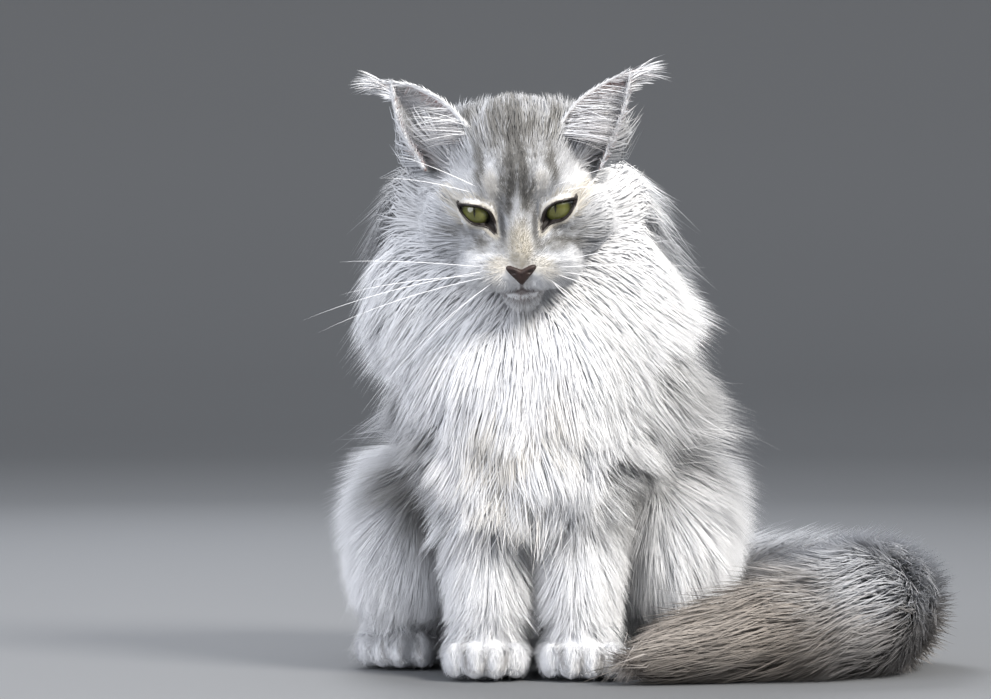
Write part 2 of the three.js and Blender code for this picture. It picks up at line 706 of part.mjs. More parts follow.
// The hair of the tail lies along it, and spreads outwards at the bend.
function tailLie(p) {
  const nearest = tailPoints.reduce((a, b) => (a.distanceToSquared(p) < b.distanceToSquared(p) ? a : b));
  const along = tailCurve.getTangentAt(tailPoints.indexOf(nearest) / 40);
  return along.addScaledVector(p.clone().sub(nearest).normalize(), 0.5).normalize();
}

const [backCut, frontCut] = TAIL_CUTS;
const TAIL_LENGTHS = {
  tail_root: { from: 0.12, to: 0.3, lift: 18, cut: [tailSide(backCut, false)] },
  tail_middle: { from: 0.4, to: 0.62, lift: 18, cut: [tailSide(backCut, true), tailSide(frontCut, false)] },
  tail_tip: { from: 0.7, to: 0.9, lift: 12, cut: [tailSide(frontCut, true)] },
};
for (const [name, { from, to, lift, cut }] of Object.entries(TAIL_LENGTHS)) {
  const plume = {
    over: tailForm,
    from,
    to,
    rows: name === "tail_middle" ? 3 : 2,
    across: 6,
    seed: 57,
    lie: tailLie,
    clear: [torsoForm, hindlegs.left],
    keep: (p) => p.z > 14 && torsoForm(p) > 4 && hindlegs.left(p) > 4,
    size: () => ({ length: 74, width: 32, thick: 7, lift }),
  };
  const tail = { form: tailForm, spine: tailSpine, rings: 24, sides: 9, locks: plume, cut };
  settle(name, coated(tail), coatSmoke);
}

// The origin is the middle of the whole model's box, on the floor.
const box = new THREE.Box3().setFromObject(group);
const middle = box.getCenter(v3());
group.position.set(-middle.x, -middle.y, -box.min.z);

export default group;
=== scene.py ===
import json
import math

import bmesh
import bpy
import numpy as np
from mathutils import Matrix, Vector, kdtree

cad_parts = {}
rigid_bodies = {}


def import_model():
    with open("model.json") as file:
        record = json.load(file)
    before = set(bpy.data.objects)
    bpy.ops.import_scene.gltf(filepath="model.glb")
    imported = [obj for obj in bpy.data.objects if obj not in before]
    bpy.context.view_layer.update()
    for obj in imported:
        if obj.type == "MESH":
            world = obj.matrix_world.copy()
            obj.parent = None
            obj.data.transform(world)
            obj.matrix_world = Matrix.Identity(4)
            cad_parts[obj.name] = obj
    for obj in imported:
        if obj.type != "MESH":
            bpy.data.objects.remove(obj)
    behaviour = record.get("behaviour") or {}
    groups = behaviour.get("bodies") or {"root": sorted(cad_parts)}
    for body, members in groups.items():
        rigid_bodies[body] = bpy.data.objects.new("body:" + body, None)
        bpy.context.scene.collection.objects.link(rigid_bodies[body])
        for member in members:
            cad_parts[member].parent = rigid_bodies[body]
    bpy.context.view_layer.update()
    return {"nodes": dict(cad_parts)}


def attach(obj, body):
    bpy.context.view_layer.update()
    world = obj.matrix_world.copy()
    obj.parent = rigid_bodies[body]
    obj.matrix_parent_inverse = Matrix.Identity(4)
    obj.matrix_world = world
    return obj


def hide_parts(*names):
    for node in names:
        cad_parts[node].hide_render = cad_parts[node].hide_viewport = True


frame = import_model()

# The studio: a round floor of pale card that curves up into a low wall, three soft lamps and a pale
# sky. The camera stands 2.2 m in front, level with the cat's chest, as the photograph's did.
BOX_MIDDLE = np.array([83.98, 124.37, 0.0])  # of the whole model, in the cat's own frame


def scene_m(points):
    return (np.asarray(points, float) - BOX_MIDDLE) / 1000


def colour(code):
    """An sRGB hex value as linear light."""
    parts = [int(code[i : i + 2], 16) / 255 for i in (1, 3, 5)]
    return [c / 12.92 if c <= 0.04045 else ((c + 0.055) / 1.055) ** 2.4 for c in parts] + [1.0]


def node(tree, kind, inputs=None, links=None, **settings):
    """One node with its settings, the values of its inputs, and what is linked into them."""
    made = tree.nodes.new(kind)
    for name, value in settings.items():
        setattr(made, name, value)
    for name, value in (inputs or {}).items():
        made.inputs[name].default_value = value
    for name, source in (links or {}).items():
        tree.links.new(source, made.inputs[name])
    return made


def finish_of(name, build):
    """A material whose surface is what build makes in its tree."""
    material = bpy.data.materials.new(name)
    material.use_nodes = True
    tree = material.node_tree
    tree.nodes.clear()
    shader = build(tree)
    node(tree, "ShaderNodeOutputMaterial", links={"Surface": shader.outputs["BSDF"]})
    return material


def piece(name, mesh, material):
    made = bpy.data.objects.new(name, mesh)
    bpy.context.scene.collection.objects.link(made)
    made.data.materials.clear()
    made.data.materials.append(material)
    return made


def smooth_step(low, high, value):
    t = np.clip((value - low) / (high - low), 0, 1)
    return t * t * (3 - 2 * t)


def card_paper(tree):
    grain = node(tree, "ShaderNodeTexNoise", {"Scale": 900.0, "Detail": 3.0})
    tree.links.new(node(tree, "ShaderNodeTexCoord").outputs["Object"], grain.inputs["Vector"])
    bump = node(tree, "ShaderNodeBump", {"Strength": 0.05, "Distance": 0.0002}, {"Height": grain.outputs["Fac"]})
    return node(
        tree,
        "ShaderNodeBsdfPrincipled",
        {"Base Color": colour("#6e7073"), "Roughness": 0.75},
        {"Normal": bump.outputs["Normal"]},
    )


sweep = bmesh.new()
profile = [(0, 0), (1.2, 0), (2.6, 0), (3.4, 0.04), (3.9, 0.16), (4.25, 0.38), (4.45, 0.7), (4.5, 1.1), (4.5, 2.0)]
line = [sweep.verts.new((r, 0, z)) for r, z in profile]
edges = [sweep.edges.new(pair) for pair in zip(line, line[1:])]
bmesh.ops.spin(sweep, geom=line + edges, cent=(0, 0, 0), axis=(0, 0, 1), angle=math.tau, steps=96, use_merge=True)
bmesh.ops.remove_doubles(sweep, verts=sweep.verts, dist=0.0005)
bmesh.ops.recalc_face_normals(sweep, faces=sweep.faces)
if next(f for f in sweep.faces if f.calc_center_median().length < 1).normal.z < 0:
    bmesh.ops.reverse_faces(sweep, faces=sweep.faces)
card = bpy.data.meshes.new("card")
sweep.to_mesh(card)
sweep.free()
card.polygons.foreach_set("use_smooth", [True] * len(card.polygons))
backdrop = piece("backdrop", card, finish_of("card_paper", card_paper))

for name, place, size, power, tint in [
    ("key_lamp", (1.6, -1.7, 2.2), 1.0, 130, "#fffaf2"),
    ("fill_lamp", (-2.4, -1.9, 1.2), 2.4, 74, "#eef0f6"),
    ("rim_lamp", (-0.6, 1.8, 1.9), 1.2, 46, "#f6f7fb"),
]:
    lamp = bpy.data.lights.new(name, "AREA")
    lamp.shape = "DISK"
    lamp.size, lamp.energy, lamp.color = size, power, colour(tint)[:3]
    stand = bpy.data.objects.new(name, lamp)
    stand.location = place
    stand.rotation_euler = (Vector((0, 0, 0.22)) - Vector(place)).to_track_quat("-Z", "Y").to_euler()
    bpy.context.scene.collection.objects.link(stand)
sky = bpy.data.worlds.new("sky")
sky.use_nodes = True
sky.node_tree.nodes["Background"].inputs["Color"].default_value = colour("#d2d6dc")
sky.node_tree.nodes["Background"].inputs["Strength"].default_value = 0.98
bpy.context.scene.world = sky
bpy.context.scene.view_settings.view_transform = "Standard"

camera_data = bpy.data.cameras.new("camera")
camera_data.sensor_width, camera_data.lens = 36, 119.9
camera = bpy.data.objects.new("camera", camera_data)
camera.location = scene_m((-14.3, -2200, 222))
camera.rotation_euler = (math.pi / 2, 0, 0)
bpy.context.scene.collection.objects.link(camera)
bpy.context.scene.camera = camera

# The skin: what a taxidermist stretches over the form, here one closed mesh from nose to tail.
# It is cast from the same balls and limbs as the solids, sunk by the depth of the coat's core.
HEAD = (
    Matrix.Translation((0, 20, 324))
    @ Matrix.Rotation(math.radians(-3), 4, "Y")
    @ Matrix.Rotation(math.radians(20), 4, "X")
)
HEAD_TURN = np.array(HEAD.to_3x3())
SIDES = {"right": -1, "left": 1}
FORELEG_X = {"right": -21, "left": 43}
HINDPAW_X = {"right": -80, "left": 108}
THIGH = {"right": (-56, 150, 88), "left": (96, 150, 88)}
PAW_HEIGHT = 35
EYE = np.array([27, -26.5, 0.0])  # middle of the left eyeball, in the head's frame
EYE_RADIUS = 12.5


def to_head(p):
    return (p - np.array(HEAD.translation)) @ HEAD_TURN


def from_head(p):
    return np.asarray(p, float) @ HEAD_TURN.T + np.array(HEAD.translation)


def ball(centre, radii):
    c, r = np.array(centre, float), np.array(radii, float)

    def field(p):
        q = p - c
        reach = np.linalg.norm(q / r, axis=-1)
        slope = np.maximum(np.linalg.norm(q / r**2, axis=-1), 1e-6)
        return reach * (reach - 1) / slope

    field.casts = [(c, r)]
    return field


def limb(a, ra, b, rb):
    start, run = np.array(a, float), np.array(b, float) - np.array(a, float)

    def field(p):
        t = np.clip((p - start) @ run / (run @ run), 0, 1)
        return np.linalg.norm(p - start - t[..., None] * run, axis=-1) - (ra + (rb - ra) * t)

    stops = np.linspace(0, 1, 2 + int(np.linalg.norm(run) / (0.4 * min(ra, rb))))
    field.casts = [(start + run * t, np.full(3, ra + (rb - ra) * t)) for t in stops]
    return field


def blend(forms, softness):
    def field(p):
        least = forms[0](p)
        for form in forms[1:]:
            d = form(p)
            near = np.maximum(softness - np.abs(least - d), 0) / softness
            least = np.minimum(least, d) - near * near * softness / 4
        return least

    field.casts = [cast for form in forms for cast in form.casts]
    return field


head_form = blend(
    [
        ball((0, 20, 10), (48, 52, 44)),
        ball((0, -6, 16), (40, 28, 30)),
        limb((0, -22, 4), 15, (0, -56, -21), 10.5),
        ball((0, -34, -32), (26, 28, 20)),
        ball((0, -48, -48.5), (13, 12, 10)),
        ball((0, -12, -36), (36, 32, 24)),
    ]
    + [
        form
        for s in (-1, 1)
        for form in (
            ball((20 * s, -19, 15), (17, 16, 10)),
            ball((27 * s, -26.5, 0), (14.6, 14.6, 14.2)),
            limb((26 * s, -18, -12), 17, (14 * s, -42, -24), 13),
            ball((36 * s, -2, -16), (24, 32, 27)),
            ball((46 * s, 22, 23), (15, 15, 15)),
            ball((35 * s, -9, 4), (14, 12, 14)),
            ball((13 * s, -52, -33), (15, 14.5, 12.5)),
            ball((25 * s, -41, -33), (15, 16, 12.5)),
        )
    ],
    9,
)
ruff_form = blend(
    [
        ball((2, 76, 316), (76, 44, 50)),
        ball((3, 66, 268), (87, 58, 66)),
        limb((0, 72, 316), 42, (10, 112, 252), 60),
        ball((8, 44, 205), (68, 46, 76)),
    ],
    25,
)
torso_form = blend(
    [
        limb((14, 94, 236), 62, (26, 162, 135), 84),
        ball((24, 178, 80), (88, 72, 80)),
        ball((64, 120, 165), (46, 52, 66)),
        ball((-36, 84, 190), (36, 44, 58)),
        ball((62, 84, 190), (36, 44, 58)),
    ],
    25,
)


def foreleg_form(side):
    x, s = FORELEG_X[side], SIDES[side]
    elbow, knee = (x + 5 * s, 58, 136), (x + s, 36, 72)
    return blend([limb(elbow, 30, knee, 22), limb(knee, 22, (x, 29, 36), 20)], 12)


def hindleg_form(side):
    x, s, (tx, ty, tz) = HINDPAW_X[side], SIDES[side], THIGH[side]
    return blend(
        [
            ball((tx, ty, tz), (58, 78, 80)),
            ball((tx + 0.6 * (x - tx), 94, 88), (34, 40, 50)),
            limb((tx + 0.8 * (x - tx), 90, 70), 33, (x, 128, 30), 24),
            limb((x - 4 * s, 190, 18), 17, (x, 130, 20), 18),
        ],
        18,
    )


def paw_form(x, y, turn, spread):
    c, s = math.cos(turn), math.sin(turn)

    def put(px, py):
        return [x + px * c - py * s, y + px * s + py * c]

    toes = [ball((*put(i * spread, -19 + 3.4 * i * i), 13.5), (10.4, 15, 14.5)) for i in (-1.5, -0.5, 0.5, 1.5)]
    return blend([ball((*put(0, 8), PAW_HEIGHT / 2 - 2), (27, 31, PAW_HEIGHT / 2 + 3)), *toes], 6.5)


# The tail under its plume is a rope of bones and muscle, with the down that the long hair grows through.
TAIL_LINE = [
    ((62, 236, 36), 20), ((116, 242, 38), 20), ((174, 228, 40), 20), ((222, 186, 42), 20),
    ((250, 122, 43), 20), ((226, 60, 40), 19), ((168, 18, 33), 15), ((98, -10, 20), 5),
]
tail_form = blend([limb(a, ra, b, rb) for (a, ra), (b, rb) in zip(TAIL_LINE, TAIL_LINE[1:])], 8)

# How deep the skin lies under each solid's core, and the coat that grows on it: how far its tips
# stand above the skin, its length and the width of a tuft, all in millimetres.
def head_depth(p):
    q = to_head(p)
    back = smooth_step(-34, 6, q[..., 1])
    side = smooth_step(34, 48, np.abs(q[..., 0]))
    return 1.6 + 6.0 * np.maximum(back, side)


def head_skin(p):
    """The bare head: its core sunk by the depth of the coat, and the lids drawn over the eyeballs."""
    q = to_head(p)
    core = head_form(q) + head_depth(p)
    lids = np.linalg.norm(q * [1, 1, 1] - np.stack([np.copysign(EYE[0], q[..., 0]), *[np.full(q.shape[:-1], c) for c in EYE[1:]]], -1), axis=-1) - 13.0
    near = np.maximum(5 - np.abs(core - lids), 0) / 5
    return np.minimum(core, lids) - near * near * 1.25


def sunk(form, depth):
    return lambda p: form(p) + depth


REGIONS = {
    "head": dict(form=head_skin, casts=head_form.casts, sink=3, stand=8, length=20, width=1.2),
    "ruff": dict(form=sunk(ruff_form, 20), casts=ruff_form.casts, sink=20, stand=44, length=68, width=1.3),
    "torso": dict(form=sunk(torso_form, 12), casts=torso_form.casts, sink=12, stand=27, length=50, width=1.0),
}
for side in SIDES:
    leg, haunch = foreleg_form(side), hindleg_form(side)
    fore = paw_form(FORELEG_X[side], 24, 0, 13.5)
    hind = paw_form(HINDPAW_X[side], 103, 0.32 * SIDES[side], 13)
    REGIONS["foreleg_" + side] = dict(form=sunk(leg, 5), casts=leg.casts, sink=5, stand=11, length=28, width=0.85)
    REGIONS["hindleg_" + side] = dict(form=sunk(haunch, 10), casts=haunch.casts, sink=10, stand=27, length=46, width=1.0)
    REGIONS["forepaw_" + side] = dict(form=sunk(fore, 2.6), casts=fore.casts, sink=2.6, stand=2.6, length=7, width=0.8)
    REGIONS["hindpaw_" + side] = dict(form=sunk(hind, 2.6), casts=hind.casts, sink=2.6, stand=2.6, length=7, width=0.8)
REGIONS["tail"] = dict(form=tail_form, casts=tail_form.casts, sink=0, stand=38, length=78, width=1.25)
NAMES = list(REGIONS)
ALL_FORMS = [REGIONS[name]["form"] for name in NAMES]


def skin_field(p, forms=None):
    least = None
    for form in forms or ALL_FORMS:
        d = form(p)
        if least is None:
            least = d
            continue
        near = np.maximum(9 - np.abs(least - d), 0) / 9
        least = np.minimum(least, d) - near * near * 2.25
    return least


CORNERS = np.array([[1, -1, -1], [-1, -1, 1], [-1, 1, -1], [1, 1, 1]], float)


def slope_of(field, p, e=0.4):
    """The value of a field at points, and its outward direction there."""
    values = [field(p + e * k) for k in CORNERS]
    grade = sum(v[..., None] * k for v, k in zip(values, CORNERS)) / (4 * e)
    steep = np.maximum(np.linalg.norm(grade, axis=-1, keepdims=True), 1e-6)
    return sum(values) / 4, grade / steep, steep[..., 0]


def settle_on(field, p, turns=4):
    for _ in range(turns):
        d, out, steep = slope_of(field, p)
        p = p - out * np.clip(d / np.maximum(steep, 0.5), -6, 6)[..., None]
    return p


def read_points(mesh):
    co = np.empty(len(mesh.vertices) * 3, np.float32)
    mesh.vertices.foreach_get("co", co)
    return co.reshape(-1, 3).astype(float)


def write_points(mesh, points):
    mesh.vertices.foreach_set("co", np.asarray(points, np.float32).ravel())
    mesh.update()


# The opening of an eye, seen from in front: outward from the eye's middle, and up.
EYE_OPENING = [
    (12.6, 6.2), (8, 8.2), (2.5, 8.2), (-2.4, 7.2), (-6.5, 4.8), (-9.1, 1.8), (-10.9, -3), (-12, -7.6),
    (-12, -10.8), (-9.4, -9.2), (-5.8, -6.7), (-2, -5.5), (2.5, -4.4), (6.3, -2), (9.6, 1.6), (11.6, 4.2),
]


def rounded(points, count):
    """A closed line through points, rounded between them."""
    pts = np.array(points, float)
    n, made = len(pts), []
    for i in range(n):
        a, b, c, d = (pts[(i + k - 1) % n] for k in range(4))
        for t in np.linspace(0, 1, count, endpoint=False):
            made.append(0.5 * (2 * b + (c - a) * t + (2 * a - 5 * b + 4 * c - d) * t**2 + (3 * b - a - 3 * c + d) * t**3))
    return np.array(made)


EYE_EDGE = rounded(EYE_OPENING, 6)


def outside_edge(u, v, loop=EYE_EDGE):
    """How far points lie outside a closed line, and less than nothing inside it."""
    p = np.stack([u, v], -1)[:, None, :]
    a, b = loop[None], np.roll(loop, -1, 0)[None]
    run = b - a
    t = np.clip(((p - a) * run).sum(-1) / (run * run).sum(-1), 0, 1)
    near = np.linalg.norm(p - a - t[..., None] * run, axis=-1).min(1)
    crosses = (a[..., 1] > p[..., 1]) != (b[..., 1] > p[..., 1])
    at = a[..., 0] + (p[..., 1] - a[..., 1]) / np.where(run[..., 1] == 0, 1e-9, run[..., 1]) * run[..., 0]
    inside = (crosses & (p[..., 0] < at)).sum(1) % 2 == 1
    return np.where(inside, -near, near)


def from_eye(q):
    """Of points in the head's frame: outward, back and up from the middle of the nearer eye."""
    return np.stack([np.abs(q[..., 0]) - EYE[0], q[..., 1] - EYE[1], q[..., 2] - EYE[2]], -1)


LIPS = np.array([(0, -43.5), (4, -45.4), (8, -46.8), (12, -47.6), (15, -48)], float)


def off_lips(q):
    """How far points of the face lie from the line of the mouth, and from the cleft above it."""
    p = np.stack([np.abs(q[..., 0]), q[..., 2]], -1)[:, None, :]
    a, run = LIPS[None, :-1], np.diff(LIPS, axis=0)[None]
    t = np.clip(((p - a) * run).sum(-1) / (run * run).sum(-1), 0, 1)
    mouth = np.linalg.norm(p - a - t[..., None] * run, axis=-1).min(1)
    high = np.clip(q[..., 2], -43.5, -33)
    cleft = np.hypot(q[..., 0], q[..., 2] - high)
    return mouth, cleft


def carve_face(p):
    """Opens the lids over the eyeballs, and presses in the line of the mouth and the cleft."""
    q = to_head(p)
    face = q[:, 1] < -8
    near_eye = face & (np.abs(np.abs(q[:, 0]) - 27) < 20) & (np.abs(q[:, 2]) < 18)
    inner = q[near_eye]
    e = from_eye(inner)
    for _ in range(2):
        # Points close to the edge of the opening move onto it, so that the rim runs clean.
        gap = outside_edge(e[:, 0], e[:, 2])
        tilt_x = (outside_edge(e[:, 0] + 0.1, e[:, 2]) - outside_edge(e[:, 0] - 0.1, e[:, 2])) / 0.2
        tilt_z = (outside_edge(e[:, 0], e[:, 2] + 0.1) - outside_edge(e[:, 0], e[:, 2] - 0.1)) / 0.2
        slide = gap * smooth_step(0.75, 0.55, np.abs(gap))
        e[:, 0] -= slide * tilt_x
        e[:, 2] -= slide * tilt_z
        inner[:, 0] -= slide * tilt_x * np.sign(inner[:, 0])
        inner[:, 2] -= slide * tilt_z
    gap = outside_edge(e[:, 0], e[:, 2])
    deep = e / np.linalg.norm(e, axis=1, keepdims=True) * 10.2 - e
    deep[:, 0] *= np.sign(inner[:, 0])
    inner = inner + deep * (1 - smooth_step(-0.8, -0.1, gap))[:, None]
    q[near_eye] = inner
    low = face & (q[:, 2] < -28) & (q[:, 1] < -34)
    mouth, cleft = off_lips(q[low])
    press = 2.6 * smooth_step(11, 4, np.abs(q[low, 0])) * np.exp(-((mouth / 1.3) ** 2)) + 1.4 * np.exp(-((cleft / 1.1) ** 2))
    q[low, 1] += press
    return from_head(q)


cast = bmesh.new()
for name in NAMES:
    turn = HEAD if name == "head" else Matrix.Identity(4)
    sink = REGIONS[name]["sink"]
    for centre, radii in REGIONS[name]["casts"]:
        bmesh.ops.create_icosphere(
            cast,
            subdivisions=3,
            radius=1,
            matrix=turn @ Matrix.Translation(centre) @ Matrix.Diagonal((*np.maximum(radii - sink, 3), 1)),
        )
rough = bpy.data.meshes.new("rough")
cast.to_mesh(rough)
cast.free()
mould = bpy.data.objects.new("mould", rough)
bpy.context.scene.collection.objects.link(mould)
shell = mould.modifiers.new("shell", "REMESH")
shell.mode, shell.voxel_size = "VOXEL", 4.0
skin_mesh = bpy.data.meshes.new_from_object(mould.evaluated_get(bpy.context.evaluated_depsgraph_get()))
bpy.data.objects.remove(mould)
write_points(skin_mesh, settle_on(skin_field, read_points(skin_mesh)))

work = bmesh.new()
work.from_mesh(skin_mesh)
for reach in (1, 2):
    points = np.array([v.co for v in work.verts])
    q = to_head(points)
    if reach == 1:
        fine = (q[:, 1] < 14) & (np.abs(q[:, 0]) < 56) & (q[:, 2] > -70) & (q[:, 2] < 64)
        fine |= points[:, 2] < 36
        fine &= np.array([points[:, 1] < 110, points[:, 0] < 140]).all(0) | (q[:, 2] > -70)
    else:
        fine = (q[:, 1] < -10) & (np.abs(q[:, 0]) < 46) & (q[:, 2] > -60) & (q[:, 2] < 18)
    edges = [e for e in work.edges if fine[e.verts[0].index] and fine[e.verts[1].index]]
    bmesh.ops.subdivide_edges(work, edges=edges, cuts=1, use_grid_fill=True)
    work.verts.index_update()
bmesh.ops.triangulate(work, faces=[f for f in work.faces if len(f.verts) > 4])
work.to_mesh(skin_mesh)
work.free()
write_points(skin_mesh, carve_face(settle_on(skin_field, read_points(skin_mesh))))
print("skin", len(skin_mesh.vertices), sum(len(p.vertices) - 2 for p in skin_mesh.polygons))

# The eyes: glass eyes as a taxidermist sets, painted olive inside, with a slit pupil. Each looks at
# the camera, and its cornea bulges a little over the iris.
def glass_eye(tree):
    gaze = node(tree, "ShaderNodeUVMap", uv_map="gaze")
    apart = node(tree, "ShaderNodeSeparateXYZ", links={"Vector": gaze.outputs["UV"]})
    reach = node(tree, "ShaderNodeVectorMath", links={0: gaze.outputs["UV"]}, operation="LENGTH")
    turn = node(tree, "ShaderNodeMath", None, {0: apart.outputs["Y"], 1: apart.outputs["X"]}, operation="ARCTAN2")
    spoke = node(tree, "ShaderNodeCombineXYZ", {"Z": 3.0}, {"X": turn.outputs["Value"], "Y": reach.outputs["Value"]})
    fibre = node(
        tree, "ShaderNodeTexNoise", {"Scale": 5.0, "Detail": 4.0}, {"Vector": node(
            tree, "ShaderNodeMapping", {"Scale": (3.2, 1.1, 1.0)}, {"Vector": spoke.outputs["Vector"]}
        ).outputs["Vector"]},
    )
    ring = node(tree, "ShaderNodeValToRGB", links={"Fac": node(
        tree, "ShaderNodeMapRange", {"From Max": 1.0}, {"Value": reach.outputs["Value"]}
    ).outputs["Result"]})
    stops = [(0.0, "#3f3e1e"), (0.22, "#5c5c2c"), (0.5, "#6d6f3c"), (0.68, "#5c5f30"), (0.8, "#2c2c16"), (0.9, "#0e0c09")]
    ring.color_ramp.elements[0].color = colour(stops[0][1])
    ring.color_ramp.elements[1].position, ring.color_ramp.elements[1].color = stops[-1][0], colour(stops[-1][1])
    for at, code in stops[1:-1]:
        ring.color_ramp.elements.new(at).color = colour(code)
    light = node(tree, "ShaderNodeMapRange", {"To Min": 0.62, "To Max": 1.3}, {"Value": fibre.outputs["Fac"]})
    iris = node(tree, "ShaderNodeVectorMath", None, {0: ring.outputs["Color"], 1: light.outputs["Result"]}, operation="MULTIPLY")
    narrow = node(tree, "ShaderNodeVectorMath", {1: (15.0, 3.0, 1.0)}, {0: gaze.outputs["UV"]}, operation="MULTIPLY")
    slit = node(tree, "ShaderNodeVectorMath", None, {0: narrow.outputs["Vector"]}, operation="LENGTH")
    open_part = node(tree, "ShaderNodeMapRange", {"From Min": 0.7, "From Max": 1.15, "To Min": 0.14}, {"Value": slit.outputs["Value"]})
    # Painted shade: the iris darkens towards its top, as in the shadow of the upper lid.
    lid_shade = node(
        tree, "ShaderNodeMapRange", {"From Min": -0.2, "From Max": 0.6, "To Min": 1.0, "To Max": 0.32},
        {"Value": apart.outputs["Y"]},
    )
    seen = node(tree, "ShaderNodeMath", None, {0: open_part.outputs["Result"], 1: lid_shade.outputs["Result"]}, operation="MULTIPLY")
    paint = node(tree, "ShaderNodeVectorMath", None, {0: iris.outputs["Vector"], 1: seen.outputs["Value"]}, operation="MULTIPLY")
    return node(
        tree,
        "ShaderNodeBsdfPrincipled",
        {"Roughness": 0.22, "IOR": 1.38, "Coat Weight": 1.0, "Coat Roughness": 0.02, "Coat IOR": 1.5},
        {"Base Color": paint.outputs["Vector"]},
    )


IRIS_REACH = 11.4  # to the dark rim round the iris
eye_glass = finish_of("eye_glass", glass_eye)
looks_at = np.array([-330, -2200, 222.0])  # a little past the camera
for side, s in SIDES.items():
    middle = from_head(EYE * [s, 1, 1])
    look = (looks_at - middle) / np.linalg.norm(looks_at - middle)
    turned = np.array(Vector(look).to_track_quat("Z", "Y").to_matrix())
    eyeball = bmesh.new()
    bmesh.ops.create_uvsphere(eyeball, u_segments=64, v_segments=48, radius=EYE_RADIUS - 0.15)
    for vert in eyeball.verts:
        off = math.hypot(vert.co.x, vert.co.y)
        if vert.co.z > 0 and off < 8.6:
            vert.co.z += 0.9 * (1 - (off / 8.6) ** 2) ** 1.5
    mesh = bpy.data.meshes.new("eyeball_" + side)
    eyeball.to_mesh(mesh)
    eyeball.free()
    local = read_points(mesh)
    behind = np.where(local[:, 2] < 0, 40, 1)
    where = local[:, :2] / IRIS_REACH * behind[:, None]
    verts = np.empty(len(mesh.loops), np.int32)
    mesh.loops.foreach_get("vertex_index", verts)
    if not mesh.uv_layers:
        mesh.uv_layers.new(name="gaze")
    mesh.uv_layers[0].name = "gaze"
    mesh.uv_layers[0].data.foreach_set("uv", where[verts].astype(np.float32).ravel())
    write_points(mesh, scene_m(local @ turned.T + middle))
    mesh.polygons.foreach_set("use_smooth", [True] * len(mesh.polygons))
    eye = piece("eyeball_" + side, mesh, eye_glass)
    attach(eye, "root")
    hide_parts("eye_" + side)


# The rims of the lids: bare dark skin, moist where it meets the eye, thicker on the upper lid.
def on_face(x, z, raise_by=0.0):
    """The skin met from in front of the face, at places across and up in the head's frame."""
    q = np.stack([x, np.full(len(x), -88.0), z], 1)
    for _ in range(60):
        q[:, 1] += np.clip(skin_field(from_head(q), [head_skin]) - raise_by, -3, 6) * 0.9
    return q


def dark_rim(tree):
    where = node(tree, "ShaderNodeTexCoord")
    pore = node(tree, "ShaderNodeTexNoise", {"Scale": 2600.0, "Detail": 3.0}, {"Vector": where.outputs["Object"]})
    tint = node(tree, "ShaderNodeMixRGB", {"Color1": colour("#130e0c"), "Color2": colour("#2b211d")}, {"Fac": pore.outputs["Fac"]})
    bump = node(tree, "ShaderNodeBump", {"Strength": 0.3, "Distance": 0.0002}, {"Height": pore.outputs["Fac"]})
    return node(
        tree, "ShaderNodeBsdfPrincipled", {"Roughness": 0.32, "Specular IOR Level": 0.6},
        {"Base Color": tint.outputs["Color"], "Normal": bump.outputs["Normal"]},
    )


def tube(name, points, radii, material, closed=False):
    """A round cord of skin or hair along points, with its own radius at each."""
    line = bpy.data.curves.new(name, "CURVE")
    line.dimensions, line.bevel_depth, line.bevel_resolution, line.use_fill_caps = "3D", 1.0, 2, True
    spline = line.splines.new("POLY")
    spline.points.add(len(points) - 1)
    spline.points.foreach_set("co", np.concatenate([scene_m(points), np.ones((len(points), 1))], 1).ravel())
    spline.points.foreach_set("radius", np.asarray(radii, float) / 1000)
    spline.use_cyclic_u = closed
    maker = bpy.data.objects.new(name, line)
    bpy.context.scene.collection.objects.link(maker)
    mesh = bpy.data.meshes.new_from_object(maker.evaluated_get(bpy.context.evaluated_depsgraph_get()))
    bpy.data.objects.remove(maker)
    mesh.polygons.foreach_set("use_smooth", [True] * len(mesh.polygons))
    return piece(name, mesh, material)


lid_skin = finish_of("lid_skin", dark_rim)
for side, s in SIDES.items():
    x, z = s * (EYE[0] + EYE_EDGE[:, 0]), EYE[2] + EYE_EDGE[:, 1]
    edge = on_face(x, z)
    off = np.hypot(EYE_EDGE[:, 0], EYE_EDGE[:, 1])
    ball_y = EYE[1] - np.sqrt(np.maximum((EYE_RADIUS + 0.35) ** 2 - off**2, 0))
    on_ball = smooth_step(14, 11.5, off)
    edge[:, 1] = (edge[:, 1] - 0.1) * (1 - on_ball) + np.minimum(edge[:, 1] - 0.1, ball_y) * on_ball
    upper = smooth_step(-3, 4, EYE_EDGE[:, 1] + 0.45 * EYE_EDGE[:, 0] * -1 + 2)
    corner = smooth_step(-6.5, -10, EYE_EDGE[:, 0])
    rim = tube("lid_" + side, from_head(edge), 0.5 + 0.32 * upper + 0.25 * corner, lid_skin, closed=True)
    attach(rim, "root")


# The nose leather: bare, pebbled, dark brown-red skin, with a comma-shaped nostril in each wing.
def leather(tree):
    where = node(tree, "ShaderNodeTexCoord")
    pebble = node(tree, "ShaderNodeTexVoronoi", {"Scale": 1500.0}, {"Vector": where.outputs["Object"]})
    blotch = node(tree, "ShaderNodeTexNoise", {"Scale": 260.0, "Detail": 3.0}, {"Vector": where.outputs["Object"]})
    tint = node(tree, "ShaderNodeMixRGB", {"Color1": colour("#211816"), "Color2": colour("#443431")}, {"Fac": blotch.outputs["Fac"]})
    bump = node(tree, "ShaderNodeBump", {"Strength": 0.5, "Distance": 0.0002}, {"Height": pebble.outputs["Distance"]})
    return node(
        tree, "ShaderNodeBsdfPrincipled", {"Roughness": 0.5, "Specular IOR Level": 0.4},
        {"Base Color": tint.outputs["Color"], "Normal": bump.outputs["Normal"]},
    )


